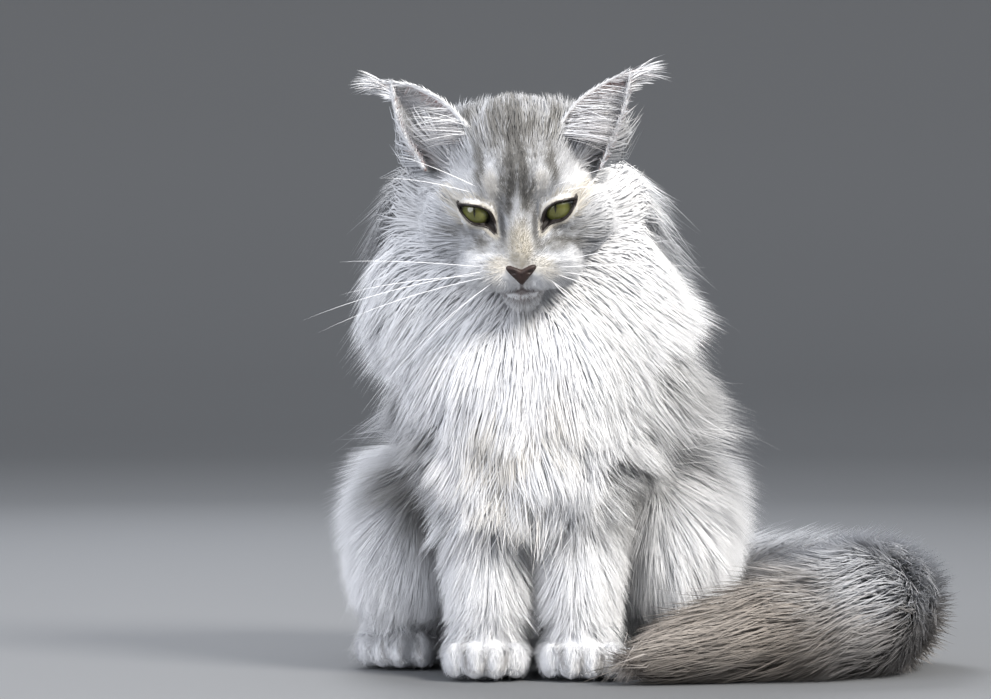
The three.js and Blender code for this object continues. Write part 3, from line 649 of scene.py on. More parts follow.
NOSE_SIDE = [(0, -29.2), (3.4, -27.8), (7.2, -26.3), (9.8, -26.8), (10.5, -28.4), (8.6, -31.2), (5.2, -34.6), (2.4, -37.8), (0.9, -39.6)]
NOSE_EDGE = rounded(NOSE_SIDE + [(0, -40.1)] + [(-x, z) for x, z in NOSE_SIDE[:0:-1]], 4)
nostril = blend([ball((-6.3, -68.0, -30.6), (2.6, 2.6, 1.2)), ball((6.3, -68.0, -30.6), (2.6, 2.6, 1.2))], 0.1)


def nose_field(q):
    aside = outside_edge(q[..., 0], q[..., 2], NOSE_EDGE)
    middle = -61.0 - 0.12 * (q[..., 2] + 33) + 0.055 * q[..., 0] ** 2 / 2
    beyond = np.abs(q[..., 1] - middle) - 6.6
    round_off = 2.2
    out, over = np.maximum(aside + round_off, 0), np.maximum(beyond + round_off, 0)
    body = np.minimum(np.maximum(aside, beyond) + round_off, 0) + np.hypot(out, over) - round_off
    hole = -nostril(q)
    cleft = 0.25 - np.hypot(q[..., 0] * 1.6, np.minimum(q[..., 1] + 67.6, 0))
    near = np.maximum(1.2 - np.abs(body - hole), 0) / 1.2
    return np.maximum(np.maximum(body, hole) + near * near * 0.3, cleft)


lump = bmesh.new()
for x, z, across in [(-5.5, -29, 5), (5.5, -29, 5), (0, -30, 6), (0, -33.5, 4.5), (0, -36.5, 2.6)]:
    spot = Matrix.Translation((x, -61, z)) @ Matrix.Diagonal((across, 6.6, 3.4, 1))
    bmesh.ops.create_icosphere(lump, subdivisions=4, radius=1, matrix=spot)
nose_mesh = bpy.data.meshes.new("nose_lump")
lump.to_mesh(nose_mesh)
lump.free()
mould = bpy.data.objects.new("nose_mould", nose_mesh)
bpy.context.scene.collection.objects.link(mould)
shell = mould.modifiers.new("shell", "REMESH")
shell.mode, shell.voxel_size = "VOXEL", 0.45
nose_mesh = bpy.data.meshes.new_from_object(mould.evaluated_get(bpy.context.evaluated_depsgraph_get()))
bpy.data.objects.remove(mould)
write_points(nose_mesh, settle_on(nose_field, read_points(nose_mesh), 6))
write_points(nose_mesh, scene_m(from_head(read_points(nose_mesh))))
nose_mesh.polygons.foreach_set("use_smooth", [True] * len(nose_mesh.polygons))
nose_leather = piece("nose_pad", nose_mesh, finish_of("nose_leather", leather))
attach(nose_leather, "root")
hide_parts("nose")

# The ears: tall cupped sheets of cartilage and skin, joined to the rest of the skin. Fine hair covers
# their backs, long hairs cross the cup, and a tuft like a lynx's ends each one.
EARS = {
    "right": ([(-31, 14, 367), (-48, 20, 386), (-68, 27, 398), (-82, 30, 401)], [(-66, 14, 352), (-76, 18, 369), (-81, 24, 386), (-83, 30, 400)]),
    "left": ([(27, 14, 371), (40, 20, 389), (58, 27, 402), (74, 30, 410)], [(60, 14, 354), (68, 18, 373), (74, 24, 391), (76.5, 30, 409)]),
}
EAR_DEPTH, EAR_SHEET = 24, 2.2


def along_rim(points, t):
    """Points on a smooth line, which runs straight on below its first point."""
    pts = np.array(points, float)
    pts = np.concatenate([[2 * pts[0] - pts[1]], pts, [2 * pts[-1] - pts[-2]]])
    s = np.clip(t, 0, 0.9999) * 3
    i = s.astype(int)
    f = (s - i)[..., None]
    a, b, c, d = (pts[i + k] for k in range(4))
    on = 0.5 * (2 * b + (c - a) * f + (2 * a - 5 * b + 4 * c - d) * f**2 + (3 * b - a - 3 * c + d) * f**3)
    start = pts[2] - pts[1]
    return on + (np.minimum(t, 0) * 60)[..., None] * start / np.linalg.norm(start)


def ear_sheet(side, u, v, inset=0.0):
    """The back of an ear, from its inner rim to its outer rim and from its root to its tip."""
    inner, outer = EARS[side]
    t = -0.16 + 1.16 * v
    a, b = along_rim(inner, t), along_rim(outer, t)
    across = (1 - np.cos(math.pi * u)) / 2
    bulge = np.sin(math.pi * np.clip(u, 0, 1)) ** 0.8
    depth = (EAR_DEPTH * (1 - np.maximum(t, 0)) ** 0.75 + 2) * bulge - inset * (0.4 + bulge)
    return a + (b - a) * across[..., None] + depth[..., None] * np.array([0, 0.97, -0.2])


body_count = len(skin_mesh.vertices)
work = bmesh.new()
work.from_mesh(skin_mesh)
for side in SIDES:
    leaf = bmesh.new()
    bmesh.ops.create_grid(leaf, x_segments=30, y_segments=34, size=0.5)
    at = np.array([v.co for v in leaf.verts])
    placed = ear_sheet(side, at[:, 0] + 0.5, (at[:, 1] + 0.5) * 0.985)
    for vert, to in zip(leaf.verts, placed):
        vert.co = to
    if side == "right":
        bmesh.ops.reverse_faces(leaf, faces=leaf.faces)
    bmesh.ops.solidify(leaf, geom=leaf.faces[:], thickness=EAR_SHEET)
    bmesh.ops.recalc_face_normals(leaf, faces=leaf.faces)
    sheet = bpy.data.meshes.new("sheet")
    leaf.to_mesh(sheet)
    leaf.free()
    work.from_mesh(sheet)
work.to_mesh(skin_mesh)
work.free()
skin_mesh.update()
print("ears", len(skin_mesh.vertices) - body_count)

# The coat: long guard hairs in pointed locks on the ruff, belly, haunches and tail, close short hair
# on the face and feet. Each tuft is a closed three-sided blade, rooted in the skin, that bends along
# the lie of the coat. Neighbouring tufts lean together into locks, as real hair does.
rng = np.random.default_rng(7)
TINTS = {name: np.array(colour(code)[:3]) for name, code in {
    "white": "#f4f5f8", "silver": "#c6c8cd", "grey": "#888785", "slate": "#4e4d4c",
    "cream": "#dcd4c4", "beige": "#cdb89c", "pink": "#ab8178", "rim": "#191210", "lip": "#5b4a48",
    "taupe": "#a9a29c", "umber": "#7b736c", "ash": "#c0c2c7",
}.items()}


def mix(a, b, share):
    return a + (b - a) * np.clip(share, 0, 1)[..., None]


def cloud(p, size, seed=0):
    """Smooth patches from 0 to 1, of about that size in millimetres."""
    q = p / size + seed * 17.31
    cell = np.floor(q)
    f = q - cell
    f = f * f * (3 - 2 * f)
    total = np.zeros(len(p))
    for corner in np.ndindex(2, 2, 2):
        key = (cell + corner) @ np.array([127.1, 311.7, 74.7])
        share = np.prod(np.where(np.array(corner) == 1, f, 1 - f), axis=1)
        total += share * (np.sin(key) * 43758.5453 % 1)
    return total


def nearness(p, softness=9):
    """How much each region of the body has a say at each point."""
    d = np.stack([REGIONS[name]["form"](p) for name in NAMES], 1)
    w = np.exp(-(d - d.min(1, keepdims=True)) / softness)
    return w / w.sum(1, keepdims=True)


def markings(p, share):
    """A silver tabby with white below: the colour of skin and hair at each point, with some painted shade between the
    toes, at the elbows under the ruff and on the top of the ruff away from the key lamp.
    """
    tones = {}
    drift = cloud(p, 26, 1) * 0.6 + cloud(p, 9, 2) * 0.4 - 0.5
    fine = cloud(p, 3.2, 3) - 0.5
    speck = cloud(p, 1.1, 17) - 0.5
    q = to_head(p)
    x, y, z = np.abs(q[:, 0] + 0.8 * fine), q[:, 1], p[:, 2]
    front = smooth_step(30, -5, y)
    grey = 0.36 + 0.5 * drift + 0.3 * fine

    def spot(cx, cz, rx, rz, soft=0.5):
        reach = np.hypot((x - cx) / rx, (z - cz) / rz)
        return 1 - smooth_step(1 - soft, 1 + soft, reach)

    crown = smooth_step(342, 362, z)
    warp = 3.4 * (cloud(p, 8, 11) - 0.5)
    grey = grey + crown * (0.3 + 0.14 * np.cos(x * 0.55 + warp))
    stripes = 0.5 + 0.5 * np.cos(2 * math.pi * (x + warp - 4.4) / 8.2 + 1.6 * drift)
    column = spot(0, 330, 8, 38, 0.4)
    grey = grey + column * smooth_step(378, 345, z) * (0.3 + 0.42 * stripes + 0.5 * fine) + spot(0, 368, 9, 12) * 0.1
    grey = grey + 0.5 * (cloud(p * [1, 1, 0.28], 1.7, 13) - 0.5) * smooth_step(300, 325, z)
    grey = grey + 0.22 * spot(0, 348, 34, 26, 0.4) - spot(15.5, 329, 3.6, 12) * 0.75
    grey = grey + spot(22.5, 334, 3.0, 17) * 0.5 + spot(8, 318, 4, 9) * 0.3
    grey = grey - spot(36, 326, 15, 10, 0.7) * 0.34
    grey = grey + spot(29, 298, 11, 9, 0.7) * (0.34 + 0.7 * fine) + spot(20, 291, 9, 6, 0.6) * 0.35
    grey = grey + spot(11, 296, 4.0, 15, 0.7) * 0.36
    grey = grey - spot(0, 287, 7.5, 17, 0.5) * 0.45
    low = smooth_step(287, 277, z)
    grey = np.where(low > 0, grey * (1 - low) + low * (0.02 + 0.2 * np.abs(drift)), grey)
    rows = [(14, 281), (18, 279.5), (22, 278.5), (15, 277), (19.5, 275.5), (24, 275), (17, 273), (21, 271.5)]
    for cx, cz in rows:
        grey = grey + 0.9 * np.exp(-(((x - cx) / 0.9) ** 2 + ((z - cz) / 0.8) ** 2)) * front
    grey = grey + 0.36 * speck * front + 0.8 * (cloud(p * [0.28, 0.5, 1], 1.6, 19) - 0.42) * spot(19, 273, 15, 13, 0.4) * front
    grey = grey * (1 - smooth_step(42, 60, x) * smooth_step(345, 320, z))
    tone = mix(mix(TINTS["white"], TINTS["silver"], grey * 2), TINTS["grey"], grey * 2 - 1)
    tone = mix(tone, TINTS["slate"], (grey - 0.85) * 1.3)
    tone = mix(tone, TINTS["cream"] * 0.66, (0.9 + 0.5 * speck) * front * (spot(0, 288, 8, 17, 0.5) + 0.5 * spot(15, 326, 4, 10)))
    tone = mix(tone, TINTS["cream"], front * 0.55 * spot(13, 277, 6, 6))
    e = from_eye(q)
    near = front * (y < -6) * (np.hypot(e[:, 0], e[:, 2]) < 24)
    gap = np.full(len(p), 99.0)
    close = near > 0
    gap[close] = outside_edge(e[close, 0], e[close, 2])
    tone = mix(tone, TINTS["cream"] * 0.95, 0.65 * (gap > -5) * smooth_step(3.4, 1.8, gap))
    duct = np.hypot((e[:, 0] + 17.0) / 1.9, (e[:, 2] + 6) / 7.5)
    tone = mix(tone, TINTS["slate"], 0.75 * front * (y < -10) * smooth_step(1.3, 0.7, duct))
    tone = mix(tone, TINTS["rim"], smooth_step(1.0, 0.35, gap))
    mouth, cleft = off_lips(q)
    lips = front * (y < -34) * (q[:, 2] < -30) * smooth_step(16, 7, np.abs(q[:, 0]))
    tone = mix(tone, TINTS["lip"], lips * 0.75 * smooth_step(2.2, 0.8, mouth))
    tone = mix(tone, TINTS["lip"], lips * 0.55 * smooth_step(1.6, 0.6, cleft))
    chin = np.hypot(q[:, 0] / 7.0, (q[:, 2] + 46.5) / 3.0)
    tone = mix(tone, TINTS["lip"], lips * 0.8 * smooth_step(1.2, 0.5, chin))
    tones["head"] = tone

    part = cloud(p, 14, 5)
    ruff = mix(np.broadcast_to(TINTS["white"], p.shape), TINTS["cream"], 0.5 * smooth_step(0.55, 0.9, part) * smooth_step(40, 10, np.abs(p[:, 0])))
    shoulder = smooth_step(38, 60, np.abs(p[:, 0] - 12)) * smooth_step(232, 200, p[:, 2]) * (1.05 + 0.8 * drift)
    nape = smooth_step(62, 104, p[:, 1]) * (0.5 + 0.9 * drift)
    ruff = mix(mix(ruff, TINTS["silver"], nape * 2), TINTS["grey"], nape * smooth_step(60, 20, np.abs(p[:, 0])))
    # The top of the ruff on the cat's right, away from the key lamp, turns grey: partly grey fur, partly painted shade.
    shoulder = shoulder + 0.8 * smooth_step(295, 325, p[:, 2]) * smooth_step(-24, -48, p[:, 0]) * (0.7 + drift)
    tones["ruff"] = mix(mix(ruff, TINTS["silver"], shoulder * 1.3), TINTS["grey"], shoulder * 0.85)
    bands = 0.5 + 0.5 * np.cos(p[:, 2] / 9 + p[:, 1] / 16 + 3 * cloud(p, 40, 8))
    shade = 0.55 + 0.7 * drift + 0.28 * bands
    tones["torso"] = mix(mix(np.broadcast_to(TINTS["white"], p.shape), TINTS["silver"], shade * 1.3), TINTS["grey"], shade - 0.35)
    for side, s in SIDES.items():
        up = smooth_step(95, 140, p[:, 2])
        outer = up * smooth_step(-6, 16, (p[:, 0] - FORELEG_X[side]) * s) * (0.9 + 0.8 * drift)
        leg = mix(np.broadcast_to(TINTS["white"], p.shape), TINTS["silver"], up * (0.4 + drift) + outer * 0.6)
        tones["foreleg_" + side] = mix(leg, TINTS["grey"], outer * 0.8)
        back = smooth_step(90, 190, p[:, 1]) * (0.5 + 0.8 * drift + 0.2 * bands) + 0.25 * smooth_step(120, 165, p[:, 2])
        tones["hindleg_" + side] = mix(np.broadcast_to(TINTS["white"], p.shape), TINTS["silver"], back * 1.4)
        for end, (px, py) in {"forepaw_": (FORELEG_X[side], 24), "hindpaw_": (HINDPAW_X[side], 112)}.items():
            spread = 13.5 if end == "forepaw_" else 12.5
            across = (p[:, 0] - px) / spread
            split = np.abs(across - np.round(across))
            # Painted shade: umber in the creases between the toes, on their front.
            between = smooth_step(0.16, 0.04, split) * (np.abs(across) < 1.3) * smooth_step(py - 6, py - 16, p[:, 1])
            tones[end + side] = mix(np.broadcast_to(TINTS["white"], p.shape), TINTS["umber"], between * 0.55 * smooth_step(26, 21, p[:, 2]) * smooth_step(4, 9, p[:, 2]))
    high = smooth_step(36, 58, p[:, 2]) * smooth_step(10, 110, p[:, 1]) + 0.5 * smooth_step(215, 262, p[:, 0])
    tail = mix(np.broadcast_to(TINTS["taupe"], p.shape), TINTS["ash"], 1.1 * high + 0.6 * drift)
    tones["tail"] = mix(tail, TINTS["umber"], 0.4 * cloud(p, 7, 9) * (1 - np.minimum(high, 1)))
    coat = sum(tones[name] * share[:, i : i + 1] for i, name in enumerate(NAMES))
    # Grey patches at the elbows, under the ruff: partly the coat's own grey, partly painted shade cast by the ruff.
    elbows = [np.exp(-(((p[:, 0] - cx) / 13) ** 2) - ((p[:, 2] - cz) / rz) ** 2) for cx, cz, rz in [(-60, 136, 30), (76, 138, 32)]]
    elbow_grey_and_shade = np.maximum(*elbows) * smooth_step(140, 100, p[:, 1]) * smooth_step(8, 24, p[:, 1]) * (1.0 + drift)
    return mix(mix(coat, TINTS["silver"], elbow_grey_and_shade * 1.4), TINTS["grey"], elbow_grey_and_shade)


def lie_of(p, share):
    """The way the hair points, as it grows away from the nose and down the body."""
    ways = {}
    q = to_head(p)
    away = q - np.array([0, -66, -24])
    away[:, 2] -= 0.35 * np.abs(q[:, 0]) * smooth_step(8, 40, np.abs(q[:, 0]))
    away[:, 1] += 12
    ways["head"] = away @ HEAD_TURN.T
    high = np.clip((p[:, 2] - 220) / 140, 0, 1)
    behind = np.clip((p[:, 1] - 70) / 50, 0, 1)
    rise = smooth_step(285, 328, p[:, 2]) * smooth_step(20, 45, np.abs(p[:, 0])) * (1 - 0.6 * behind)
    ways["ruff"] = np.stack([(p[:, 0] / 70) * (0.2 + high), 0.1 + 0.3 * high + 0.6 * behind, -1 + 0.85 * high * (1 - behind) + rise], 1)
    ways["torso"] = np.stack([(p[:, 0] - 24) / 260, np.full(len(p), 0.5), np.full(len(p), -1.0)], 1)
    for side, s in SIDES.items():
        one = np.ones(len(p))
        ways["foreleg_" + side] = np.stack([0.15 * s * one, 0.12 * one, -one], 1)
        ways["hindleg_" + side] = np.stack([0.25 * s * one, np.where(p[:, 1] > 170, 0.4, -0.1), -one], 1)
        ways["forepaw_" + side] = np.stack([0 * one, -one, -0.5 * one], 1)
        ways["hindpaw_" + side] = ways["forepaw_" + side]
    line = np.array([point for point, _ in TAIL_LINE], float)
    run = np.diff(line, axis=0)
    t = np.clip(((p[:, None] - line[:-1]) * run).sum(-1) / (run * run).sum(-1), 0, 1)
    foot = line[:-1] + t[..., None] * run
    gap = np.linalg.norm(p[:, None] - foot, axis=-1)
    nearest = gap.argmin(1)
    index = np.arange(len(p))
    outward = p - foot[index, nearest]
    outward /= np.maximum(np.linalg.norm(outward, axis=1, keepdims=True), 1e-6)
    heading = run / np.linalg.norm(run, axis=1, keepdims=True)
    turn = np.concatenate([heading[:1], (heading[1:] + heading[:-1]) / 2, heading[-1:]])
    share_t = t[index, nearest][:, None]
    ways["tail"] = turn[nearest] * (1 - share_t) + turn[nearest + 1] * share_t + 0.4 * outward
    total = sum(ways[name] / np.maximum(np.linalg.norm(ways[name], axis=1, keepdims=True), 1e-6) * share[:, i : i + 1] for i, name in enumerate(NAMES))
    return total / np.maximum(np.linalg.norm(total, axis=1, keepdims=True), 1e-6)


def flat_loop(mesh, name):
    values = np.empty(len(mesh.loops) * 2, np.float32)
    mesh.uv_layers[name].data.foreach_get("uv", values)
    return values.reshape(-1, 2)


def scatter(mesh, weight, count):
    """Roots spread over the skin, with their outward direction and their place on its unwrap."""
    mesh.calc_loop_triangles()
    corner = np.empty(len(mesh.loop_triangles) * 3, np.int32)
    mesh.loop_triangles.foreach_get("vertices", corner)
    loops = np.empty(len(mesh.loop_triangles) * 3, np.int32)
    mesh.loop_triangles.foreach_get("loops", loops)
    corner, loops = corner.reshape(-1, 3), loops.reshape(-1, 3)
    points = skin_points
    a, b, c = (points[corner[:, i]] for i in range(3))
    area = np.linalg.norm(np.cross(b - a, c - a), axis=1) / 2 * weight[corner].mean(1)
    pick = np.searchsorted(np.cumsum(area) / area.sum(), (np.arange(count) + rng.random(count)) / count)
    pick = np.minimum(pick, len(area) - 1)
    u, v = rng.random(count), rng.random(count)
    over = u + v > 1
    u[over], v[over] = 1 - u[over], 1 - v[over]
    share = np.stack([1 - u - v, u, v], 1)[..., None]
    root = (points[corner[pick]] * share).sum(1)
    out = (skin_normals[corner[pick]] * share).sum(1)
    patch = (flat_loop(mesh, "OFBake")[loops[pick]] * share).sum(1)
    return root, out / np.linalg.norm(out, axis=1, keepdims=True), patch, corner[pick], share


def grow(root, out, share, length, stand, steps, forms, sway, lift=0.0):
    """The line of each tuft, from just under the skin to its tip, and which way is up along it."""
    line, ups = [root - out * 1.2], [out]
    p = root
    for i in range(1, steps + 1):
        t = i / steps
        along = lie_of(p, share)
        up = ups[-1]
        along = along - up * (along * up).sum(1, keepdims=True) * 0.9 + up * lift
        aside = np.cross(up, along)
        along = along + aside * (sway * t)[:, None]
        along /= np.linalg.norm(along, axis=1, keepdims=True)
        p = p + along * (length / steps)[:, None]
        d, up, _ = slope_of(lambda r: skin_field(r, forms), p)
        short = stand * t**0.75 - d
        p = p + up * np.where(short > 0, short, short * 0.45)[:, None]
        line.append(p)
        ups.append(up)
    return np.stack(line, 1), np.stack(ups, 1)


def gather(line, root, spacing, pull, seed):
    """Draws tufts together into locks, round some of them that lead."""
    order = np.random.default_rng(seed).permutation(len(root))
    leads = []
    cell = {}
    for i in order:
        key = tuple((root[i] // spacing).astype(int))
        if key not in cell:
            cell[key] = i
            leads.append(i)
    tree = kdtree.KDTree(len(leads))
    for k, i in enumerate(leads):
        tree.insert(root[i], k)
    tree.balance()
    lead = np.array([leads[tree.find(r)[1]] for r in root])
    t = np.linspace(0, 1, line.shape[1])[None, :, None]
    target = line[lead] + (root - root[lead])[:, None] * (1 - 0.85 * t)
    return line + (target - line) * (pull[:, None, None] * t**1.9)


def tufts(name, line, ups, width, tone, tip_tone, patch, material):
    """One mesh of closed three-sided blades, widest a third of the way along, with a sharp tip."""
    n, k = line.shape[0], line.shape[1] - 1
    along = np.empty_like(line)
    along[:, 0], along[:, -1] = line[:, 1] - line[:, 0], line[:, -1] - line[:, -2]
    along[:, 1:-1] = line[:, 2:] - line[:, :-2]
    along /= np.maximum(np.linalg.norm(along, axis=2, keepdims=True), 1e-6)
    up = ups - along * (ups * along).sum(2, keepdims=True)
    up /= np.maximum(np.linalg.norm(up, axis=2, keepdims=True), 1e-6)
    side = np.cross(along, up)
    t = np.linspace(0, 1, k + 1)
    shape = np.interp(t, [0, 0.3, 0.7, 1], [0.8, 1, 0.7, 0.0])[None, :, None] * width[:, None, None]
    left = line + side * shape / 2 - up * shape * 0.1
    ridge = line + up * shape * 0.32
    right = line - side * shape / 2 - up * shape * 0.1
    rings = np.stack([left, ridge, right], 2)[:, :k].reshape(n, 3 * k, 3)
    points = np.concatenate([rings, line[:, -1:]], 1)
    faces, under, across, height = [(0, 1, 2)], [True], [0, 0.5, 1], t
    for i in range(k - 1):
        for j in range(3):
            a, b = 3 * i + j, 3 * i + (j + 1) % 3
            faces += [(a, a + 3, b + 3), (a, b + 3, b)]
            under += [j == 2] * 2
    last = 3 * (k - 1)
    faces += [(last + j, 3 * k, last + (j + 1) % 3) for j in range(3)]
    under += [False, False, True]
    faces = np.array(faces)
    # The light sees the coat as one soft surface, so the blades' normals lean towards the body's.
    lean = np.array([0.34, 0.0, -0.34] * k + [0.0])[None, :, None]
    ring = np.append(np.repeat(np.arange(k), 3), k)
    ups_at, side_at = up[:, ring], side[:, ring]
    turned = np.where(under, -1.0, 1.0)[None, :, None, None]
    normals = (ups_at * 1.0)[:, faces] * turned + (side_at * lean)[:, faces]
    normals = normals.reshape(-1, 3)
    normals /= np.linalg.norm(normals, axis=1, keepdims=True)
    grid = np.array([(across[i % 3], height[i // 3]) for i in range(3 * k)] + [(0.5, 1.0)])
    each = 3 * k + 1
    index = (faces[None] + (np.arange(n) * each)[:, None, None]).reshape(-1)
    mesh = bpy.data.meshes.new(name)
    mesh.vertices.add(n * each)
    mesh.vertices.foreach_set("co", scene_m(points.reshape(-1, 3)).astype(np.float32).ravel())
    mesh.loops.add(len(index))
    mesh.loops.foreach_set("vertex_index", index.astype(np.int32))
    mesh.polygons.add(len(index) // 3)
    mesh.polygons.foreach_set("loop_start", np.arange(0, len(index), 3, dtype=np.int32))
    mesh.polygons.foreach_set("loop_total", np.full(len(index) // 3, 3, np.int32))
    mesh.polygons.foreach_set("use_smooth", np.ones(len(index) // 3, bool))
    mesh.update(calc_edges=True)
    corner = index % each
    owner = index // each
    bake = mesh.uv_layers.new(name="OFBake")
    spot = patch[owner] + (grid[corner] - 0.5) * 0.003
    bake.data.foreach_set("uv", spot.astype(np.float32).ravel())
    hair = mesh.uv_layers.new(name="hair")
    strand = grid[corner] * np.stack([np.ones(n), np.ones(n)], 1)[owner] + (np.arange(n) * 0.37 % 50)[owner][:, None] * [1, 0]
    hair.data.foreach_set("uv", strand.astype(np.float32).ravel())
    # The colour runs from tone at the root to tip_tone at the tip; where the root is darker, that is painted shade deep
    # in the coat.
    blend_t = grid[:, 1][None, :, None] ** 0.8
    shades = tone[:, None] * (1 - blend_t) + tip_tone[:, None] * blend_t
    shades = np.concatenate([shades.reshape(-1, 3), np.ones((n * each, 1))], 1)
    paint = mesh.attributes.new("coat", "FLOAT_COLOR", "POINT")
    paint.data.foreach_set("color", shades.astype(np.float32).ravel())
    mesh.normals_split_custom_set(normals)
    made = piece(name, mesh, material)
    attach(made, "root")
    return made


def coat_hair(tree):
    """Guard hair: smooth keratin, so each tuft has fine streaks along it and a soft gloss."""
    paint = node(tree, "ShaderNodeAttribute", attribute_name="coat")
    strand = node(tree, "ShaderNodeUVMap", uv_map="hair")
    spread = node(tree, "ShaderNodeMapping", {"Scale": (7.0, 1.2, 1.0)}, {"Vector": strand.outputs["UV"]})
    streak = node(tree, "ShaderNodeTexNoise", {"Scale": 1.0, "Detail": 2.0}, {"Vector": spread.outputs["Vector"]})
    light = node(tree, "ShaderNodeMapRange", {"To Min": 0.86, "To Max": 1.1}, {"Value": streak.outputs["Fac"]})
    shade = node(
        tree, "ShaderNodeVectorMath", None,
        {0: paint.outputs["Color"], 1: light.outputs["Result"]}, operation="MULTIPLY",
    )
    return node(
        tree,
        "ShaderNodeBsdfPrincipled",
        {"Roughness": 0.6, "IOR": 1.55, "Specular IOR Level": 0.25},
        {"Base Color": shade.outputs["Vector"]},
    )


hair_finish = finish_of("coat_hair", coat_hair)
skin_points = read_points(skin_mesh)
skin_share = nearness(skin_points)
skin_normals = slope_of(skin_field, skin_points)[1]
on_ear = np.arange(len(skin_points)) >= body_count
mesh_normals = np.empty(len(skin_points) * 3, np.float32)
skin_mesh.vertices.foreach_get("normal", mesh_normals)
skin_normals[on_ear] = mesh_normals.reshape(-1, 3)[on_ear]

# Where each point of an ear lies on its sheet, and whether it is inside the cup.
ear_rows = [
    (side, u, v, cup)
    for side in SIDES
    for cup in (0, 1)
    for u in np.linspace(0, 1, 40)
    for v in np.linspace(0, 0.985, 44)
]
ear_tree = kdtree.KDTree(len(ear_rows))
spots = np.concatenate([
    ear_sheet(side, *(np.array([r[k] for r in ear_rows if r[0] == side and r[3] == cup]) for k in (1, 2)), cup * EAR_SHEET)
    for side in SIDES
    for cup in (0, 1)
])
for k, at in enumerate(spots):
    ear_tree.insert(at, k)
ear_tree.balance()
ear_place = np.zeros((len(skin_points), 4))
for i in np.flatnonzero(on_ear):
    side, u, v, cup = ear_rows[ear_tree.find(skin_points[i])[1]]
    ear_place[i] = (SIDES[side], u, v, cup)

bpy.ops.object.select_all(action="DESELECT")
skin = piece("skin", skin_mesh, hair_finish)
bpy.context.view_layer.objects.active = skin
skin.select_set(True)
bpy.ops.object.mode_set(mode="EDIT")
bpy.ops.mesh.select_all(action="SELECT")
bpy.ops.uv.smart_project(angle_limit=1.2, island_margin=0.002)
bpy.ops.object.mode_set(mode="OBJECT")
skin_mesh = skin.data
skin_mesh.uv_layers[0].name = "OFBake"
print("unwrapped")

